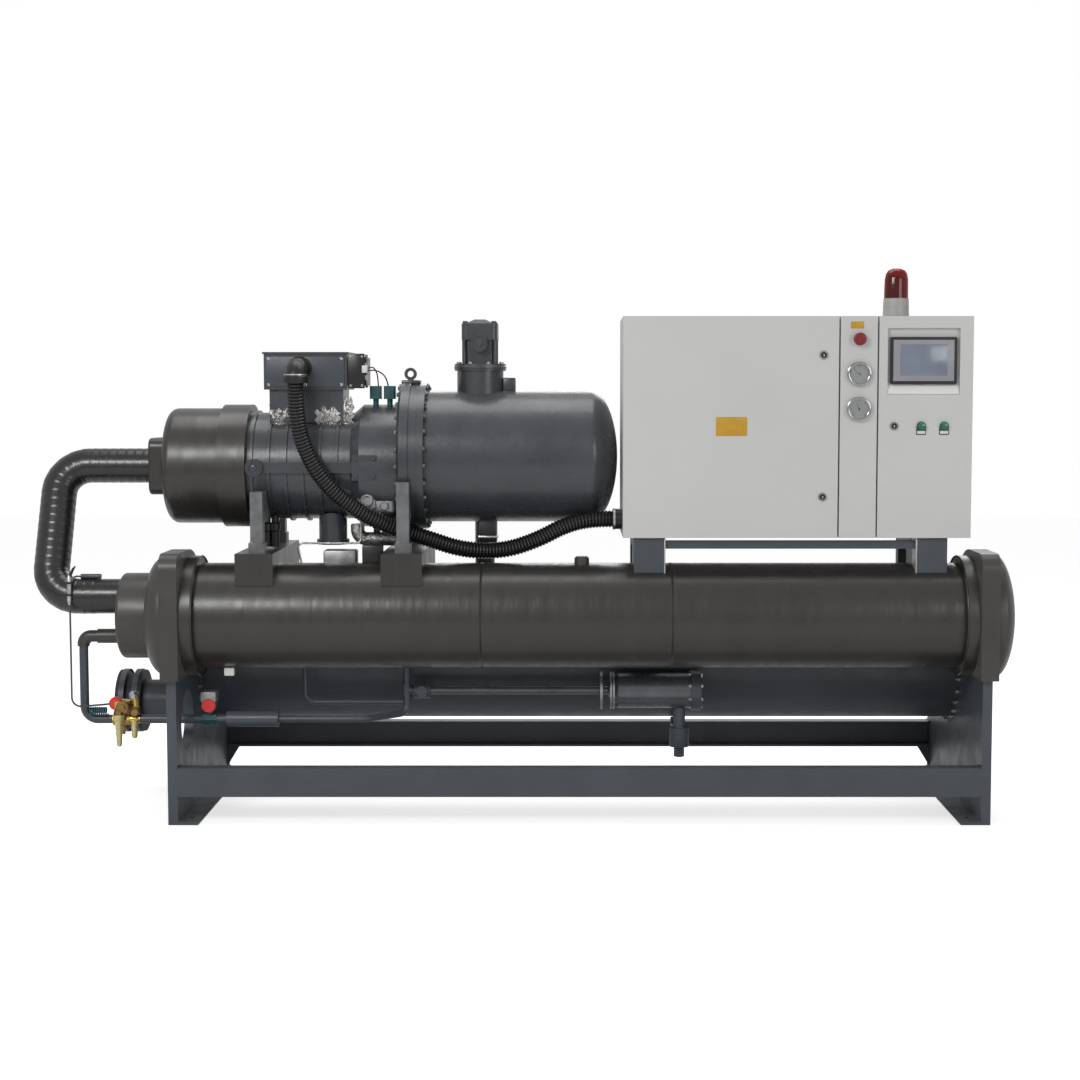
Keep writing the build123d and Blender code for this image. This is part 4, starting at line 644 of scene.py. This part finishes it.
terminal = Shape()
terminal.box((-995, -223.5, 1362), (-746, -219, 1458), 2)
terminal.put("terminal_cover", paint, "compressor_paint")
side_cover = Shape()
side_cover.box((-735, -224, 1357), (-681, -219, 1467), 2.5)
for z in (1372, 1412, 1452):
    side_cover.box((-681.5, -206, z - 13), (-678, -150, z + 13), 2)
side_cover.put("side_cover", black, "black_rubber")
screws = Shape()
for x in (-986, -870, -755):
    for z in (1369, 1451):
        screws.turned((x, -223.5, z), (0, -1, 0), [(0, 5), (1.6, 5), (2.2, 3.6), (1.2, 3), (1.2, 1)], 16)
for x in (-726, -690):
    for z in (1366, 1458):
        screws.turned((x, -224, z), (0, -1, 0), [(0, 4), (1.6, 4), (2.2, 3), (1.2, 2.4), (1.2, 1)], 16)
screws.put("terminal_screws", steel, "zinc")
Shape().box((-690, -226, 1406), (-673, -204, 1430), 2.5).put("wire_clip", white, "cabinet_paint")
nut_ring = Shape()
nut_ring.turned((-887, -316, 1374), Z, [(0, 33), (0, 38.5), (5, 39.5), (19, 39.5), (23, 36), (23, 33)], 12)
nut_ring.put("conduit_nut", black, "black_rubber")
bright_rings = Shape()
bright_rings.turned((-887, -316, 1397), Z, [(0, 33), (0, 37), (4, 37), (4, 33)], 40)
bright_rings.turned((108, -262, 944), X, [(0, 30), (0, 34), (6, 34), (6, 30)], 40)
bright_rings.put("gland_rings", zinc, "zinc")


def foil_patch(shape, low_x, high_x, lowest, highest, front):
    """Crumpled foil that stands against the casing under the terminal box."""
    bm, rows = shape.bm, []
    across, up = 18, 14
    for i in range(up + 1):
        swell = math.sin(math.pi * i / up) * 7
        rows.append([bm.verts.new((low_x + (high_x - low_x) * k / across + 4 * math.sin(i * 1.3), front - swell
                                   - random.uniform(0, 6) * math.sin(math.pi * k / across),
                                   lowest + (highest - lowest + 9 * math.sin(k * 0.9 + low_x)) * i / up
                                   + random.uniform(-2, 2)))
                     for k in range(across + 1)])
    for low, high in zip(rows, rows[1:]):
        for k in range(across):
            bm.faces.new((low[k], low[k + 1], high[k + 1], high[k]))
    edge = [row[0] for row in rows] + rows[-1][1:] + [row[-1] for row in rows[-2::-1]] + rows[0][-2:0:-1]
    back = [bm.verts.new(v.co + Vector((0, 16, 0))) for v in edge]
    for k in range(len(edge)):
        j = (k + 1) % len(edge)
        bm.faces.new((edge[k], edge[j], back[j], back[k]))


foils = Shape()
foil_patch(foils, -986, -926, 1240, 1304, -198)
foil_patch(foils, -840, -764, 1238, 1300, -200)
foil_patch(foils, -760, -722, 1236, 1322, -196)
foils.put("foil_patches", foil, "zinc")

castings = Shape()
castings.box((-706, -266, 968), (-640, -226, 1040), 14, 4)
castings.box((-652, -262, 960), (-584, -214, 1012), 12, 4)
castings.turned((-672, -266, 1004), (0, -1, 0), [(-4, 21), (5, 21), (8, 18), (8, 13), (3, 12), (3, 6)], 32)
castings.turned((-618, -262, 985), (0, -1, 0), [(-4, 15), (5, 15), (7, 12), (7, 5)], 6)
castings.put("oil_manifold", cast_metal, "zinc")

below = Shape()
for x in (-1004, -978):
    below.turned((x, -180, 850), Z, [(0, 13), (48, 13), (52, 17), (74, 17), (78, 12), (100, 12)], 28)
below.box((-688, -282, 792), (-625, -222, 862), 5)
below.box((-324, -150, 842), (-267, -70, 940), 6)
below.put("black_fittings", black, "black_rubber")
rod = Shape()
rod.tube(bent([(-890, -200, 790), (-905, -200, 862), (-700, -200, 862), (-700, -190, 930)], 14), 3.5, 12)
rod.put("oil_rod", steel, "zinc")
Shape().box((-816, -244, 782), (-712, -172, 842), 6).put("oil_block", cast_metal, "zinc")
Shape().box((-327, -153, 872), (-264, -67, 882), 2).put("heater_strap", steel, "zinc")
eye_base = Shape()
eye_base.box((-574, -122, 1371), (-513, -68, 1384), 4)
eye_base.put("eye_base", cast_paint, "compressor_paint")

# The valves at the left end

left = Shape()
left.turned((-1474, -290, 358), (0, -1, 0), [(-6, 21), (6, 21), (10, 17), (10, 6)], 32)
left.put("valve_head", solenoid_red, "red_plastic")
silver = Shape()
silver.turned((-1419, -284, 374), Z, [(0, 14), (14, 14), (20, 10), (22, 4)], 28)
silver.turned((-1602, -338, 690), Z, [(-12, 4), (0, 8), (72, 8), (82, 3)], 20)
silver.put("silver_fittings", steel, "zinc")
body = Shape()
body.turned((-1450, -306, 345), (0, -1, 0), [(-30, 22), (2, 22), (5, 18), (5, 11), (12, 11), (12, 5)], 8)
body.turned((-1414, -296, 330), (0, -1, 0), [(-30, 17), (2, 17), (6, 12)], 6)
body.turned((-1461, -306, 326), Z, [(-4, 17), (10, 17), (14, 12)], 6)
body.put("valve_body", bronze, "brass")
caps = Shape()
caps.turned((-1461, -308, 324), -Z, [(0, 18), (16, 17), (22, 13), (74, 9), (96, 8), (101, 6)], 24)
caps.turned((-1414, -300, 292), -Z, [(-12, 10), (2, 11), (38, 9), (44, 6)], 20)
caps.put("yellow_caps", yellow_cap, "brass")
tubing = Shape()
turns = [(-1556 + i * 0.55, -290 + 13 * math.cos(i * 0.5), 332 + 13 * math.sin(i * 0.5)) for i in range(100)]
tubing.tube(turns, 2.4, 8)
tubing.put("capillary_turns", teal, "insulation")
elbow = Shape()
elbow.tube(bent([(-1577, -275, 540), (-1577, -275, 572), (-1472, -275, 572)], 24), 19, 24)
elbow.put("riser_cover", foam_end, "insulation")
straps = Shape()
straps.tube([(-1602, -330, 762), (-1596, -340, 776), (-1588, -340, 792), (-1583, -334, 800)], [4, 5, 4, 2], 8)
straps.box((-1609, -348, 744), (-1594, -328, 752), 2)
straps.box((-1609, -348, 706), (-1594, -328, 714), 2)
straps.put("bulb_straps", black, "black_rubber")

coil_face = Shape()
coil_face.turned((-1177, -300, 352), (0, -1, 0), [(-6, 22), (4, 22), (6, 20), (6, 8), (4, 8)], 40)
coil_face.put("solenoid_face", solenoid_red, "red_plastic")
coil_box = Shape()
coil_box.box((-1203, -303, 362), (-1154, -248, 396), 5)
coil_box.put("solenoid_top", cast_metal, "zinc")
Shape().box((-1121, -334, 452), (-1089, -316, 478), 4).put("lead_connector", white, "cabinet_paint")

# The drier

drier = Shape()
DRIER = (-155, 379)
drier.turned((68, *DRIER), X, [(0, 60), (0, 62), (8, 62), (8, 60)], 60, closed=False)
for x in (103, 112):
    drier.turned((x, *DRIER), X, [(-3, 58), (-3, 60.5), (3, 60.5), (3, 58)], 60, closed=False)
drier.put("drier_bands", cast_metal, "zinc")
drier_bolts = Shape()
drier_bolts.bolt_ring((394, *DRIER), (1, 0, 0), 55, 8, 7, 0.39)
drier_bolts.bolt_ring((362, *DRIER), (-1, 0, 0), 55, 8, 7, 0.39, nut=True)
drier_bolts.put("drier_bolts", steel, "zinc")

# The stands' edge plates, pale grey: painted highlights on the stands' edges

edges = Shape()
for x in (265, 1051):
    edges.box((x, -363, 780), (x + 4, -300, 892), 1)
edges.put("stand_edge_highlights", painted_edge_highlight, "zinc")

# The cabinet's fittings

FRONT = -377
LOCKS = {"main_door_leaf": [(755, 1459), (755, 1020)], "control_door_leaf": [(975, 1240)]}
for body, places in LOCKS.items():
    rims, holes = Shape(), Shape()
    for x, z in places:
        rims.turned((x, FRONT, z), (0, -1, 0), [(0, 11.2), (0, 13.5), (3, 13.5), (5.4, 12), (5.4, 9), (4.2, 8.2)], 40)
        rims.box((x - 2, FRONT - 5.6, z - 6), (x + 2, FRONT - 3.8, z + 3), 0.8)
        # Flat near-black disc and slot: painted shade in the lock hole.
        holes.turned((x, FRONT - 3.9, z), (0, -1, 0), [(0, 8.6), (0.5, 8.6)], 32)
        holes.box((x - 12, FRONT - 4.8, z - 1), (x - 7, FRONT - 1, z + 1), 0.4)
    rims.put("lock_rims_" + body.split("_")[0], chrome, "gauge_rim", body)
    holes.put("lock_holes_" + body.split("_")[0], painted_hole_shade, "black_rubber", body)

Shape().box((423, FRONT - 1, 1209), (520, FRONT, 1268), 0.4).put("plain_plate", amber, "cabinet_paint", "main_door_leaf")
Shape().box((838, FRONT - 1, 1541), (878, FRONT, 1562), 0.4).put("plain_plate_small", amber, "cabinet_paint")

STRIP_X = 864.5
dials, needles, glasses, rims = Shape(), Shape(), Shape(), Shape()
for z, angle in ((1401, 2.5), (1293, 2.0)):
    dials.turned((STRIP_X, FRONT - 10, z), (0, -1, 0), [(0, 30.8), (1, 30.8)], 64)
    rims.turned((STRIP_X, FRONT - 14, z), (0, -1, 0), [(-4.5, 30.2), (0.6, 30.2), (1.6, 32), (1.6, 35), (0.2, 37.4)],
                72, closed=False)
    for k in range(31):
        a = math.radians(225 - 270 * k / 30)
        out = Vector((math.cos(a), 0, math.sin(a)))
        middle = Vector((STRIP_X, FRONT - 11.3, z))
        inner = 22 if k % 5 == 0 else 25
        needles.tube([middle + out * inner, middle + out * 28], 0.8 if k % 5 == 0 else 0.4, 6)
    out = Vector((math.cos(angle), 0, math.sin(angle)))
    needles.tube([Vector((STRIP_X, FRONT - 12, z)) - out * 7, Vector((STRIP_X, FRONT - 12, z)) + out * 22],
                 [1.4, 0.4], 6)
    needles.turned((STRIP_X, FRONT - 11, z), (0, -1, 0), [(0, 3), (1.6, 3), (2, 2)], 20)
    glasses.turned((STRIP_X, FRONT - 13.2, z), (0, -1, 0), [(0, 30.4), (0.6, 30.4)], 48)
dials.put("gauge_dials", dial_white, "cabinet_paint")
needles.put("gauge_needles", black, "black_rubber")
glasses.put("gauge_glasses", clear, "gauge_rim")
rims.put("gauge_rims", chrome, "gauge_rim")

knob = Shape()
knob.turned((STRIP_X, FRONT - 25, 1508), (0, -1, 0), [(-0.5, 14), (0.4, 13), (0.9, 8), (0.4, 3)], 48)
for k in range(3):
    a = math.radians(90 + 120 * k)
    knob.tube([(STRIP_X + r * math.cos(a + r * 0.05), FRONT - 25.8, 1508 + r * math.sin(a + r * 0.05))
               for r in (4, 6, 8, 10)], 0.7, 6)
knob.put("knob_face", red_plastic, "red_plastic", "stop_button")

panel_frame = Shape()
panel_frame.box((971, FRONT + 0.8, 1379), (1159, FRONT + 3, 1506), 0.8)
panel_frame.put("panel_face", panel_grey, "screen_frame", "control_door_leaf")
Shape().box((992, FRONT, 1396), (1138, FRONT + 1.2, 1492), 0.5).put("panel_screen", screen, "screen_frame",
                                                                 "control_door_leaf")
sill = bmesh.new()
profile = [(-363, 1339), (-376.6, 1339), (-376.6, 1340.5), (-363.4, 1368), (-363, 1368)]
sill_shape = Shape()
rows = [[sill_shape.bm.verts.new((x, y, z)) for y, z in profile] for x in (954, 1176)]
for k in range(5):
    sill_shape.bm.faces.new((rows[0][k], rows[0][(k + 1) % 5], rows[1][(k + 1) % 5], rows[1][k]))
sill_shape.bm.faces.new(rows[0][::-1])
sill_shape.bm.faces.new(rows[1])
# The sill takes the lighter copy of the cabinet's coat: painted highlight.
sill_shape.put("pocket_sill", sill_painted_highlight, "cabinet_paint", "control_door_leaf")
sill.free()

LAMPS = (1059, 1130)
holders, inserts, domes = Shape(), Shape(), Shape()
for x in LAMPS:
    holders.box((x - 15, FRONT - 2.5, 1213), (x + 15, FRONT, 1240), 1.5)
    inserts.box((x - 12.5, FRONT - 3.2, 1216), (x + 12.5, FRONT - 2.2, 1225), 0.4)
    domes.turned((x, FRONT - 12, 1240), (0, -1, 0), [(-7, 11.6), (0, 11.2), (2.4, 9), (3.4, 5), (3.7, 1)], 36)
holders.put("lamp_holders", lamp_shade, "green_lamp", "control_door_leaf")
inserts.put("lamp_inserts", white, "cabinet_paint", "control_door_leaf")
domes.put("lamp_domes", lamp_green, "green_lamp", "control_door_leaf")

# The beacon

BEACON = (991, -290)
glass = Shape()
glass.turned((*BEACON, 1635), Z, [(0.5, 37.5), (60, 37), (78, 34), (88, 28), (94, 18), (95.6, 6), (95.6, 0.5),
                                  (92.6, 0.5), (92, 6), (90.5, 17), (85, 26), (76, 31.5), (60, 34), (0.5, 34.5)],
             64, closed=False)
lens = glass.put("beacon_glass", red_lens, "red_lens")
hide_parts("beacon_lens")
inside = Shape()
inside.turned((BEACON[0] - 6, BEACON[1] + 5, 1635), Z, [(0.5, 26), (62, 26), (72, 20), (76, 5)], 40)
inside.put("beacon_reflector", black, "black_rubber")
bulb = Shape()
bulb.turned((BEACON[0] + 13, BEACON[1] - 24, 1635), Z, [(0.5, 6), (22, 6), (23, 4), (34, 5), (44, 4), (47, 1)], 24)
bulb.put("beacon_bulb", chrome, "gauge_rim")
seal = Shape()
seal.torus((*BEACON, 1635), Z, 38.6, 1.6, 72, 8)
for z in (1583, 1612, 1622):
    seal.torus((*BEACON, z), Z, 41.2 - (z - 1579) * math.tan(math.radians(2)), 0.9, 72, 8)
seal.put("beacon_rings", beacon_grey, "cabinet_paint")
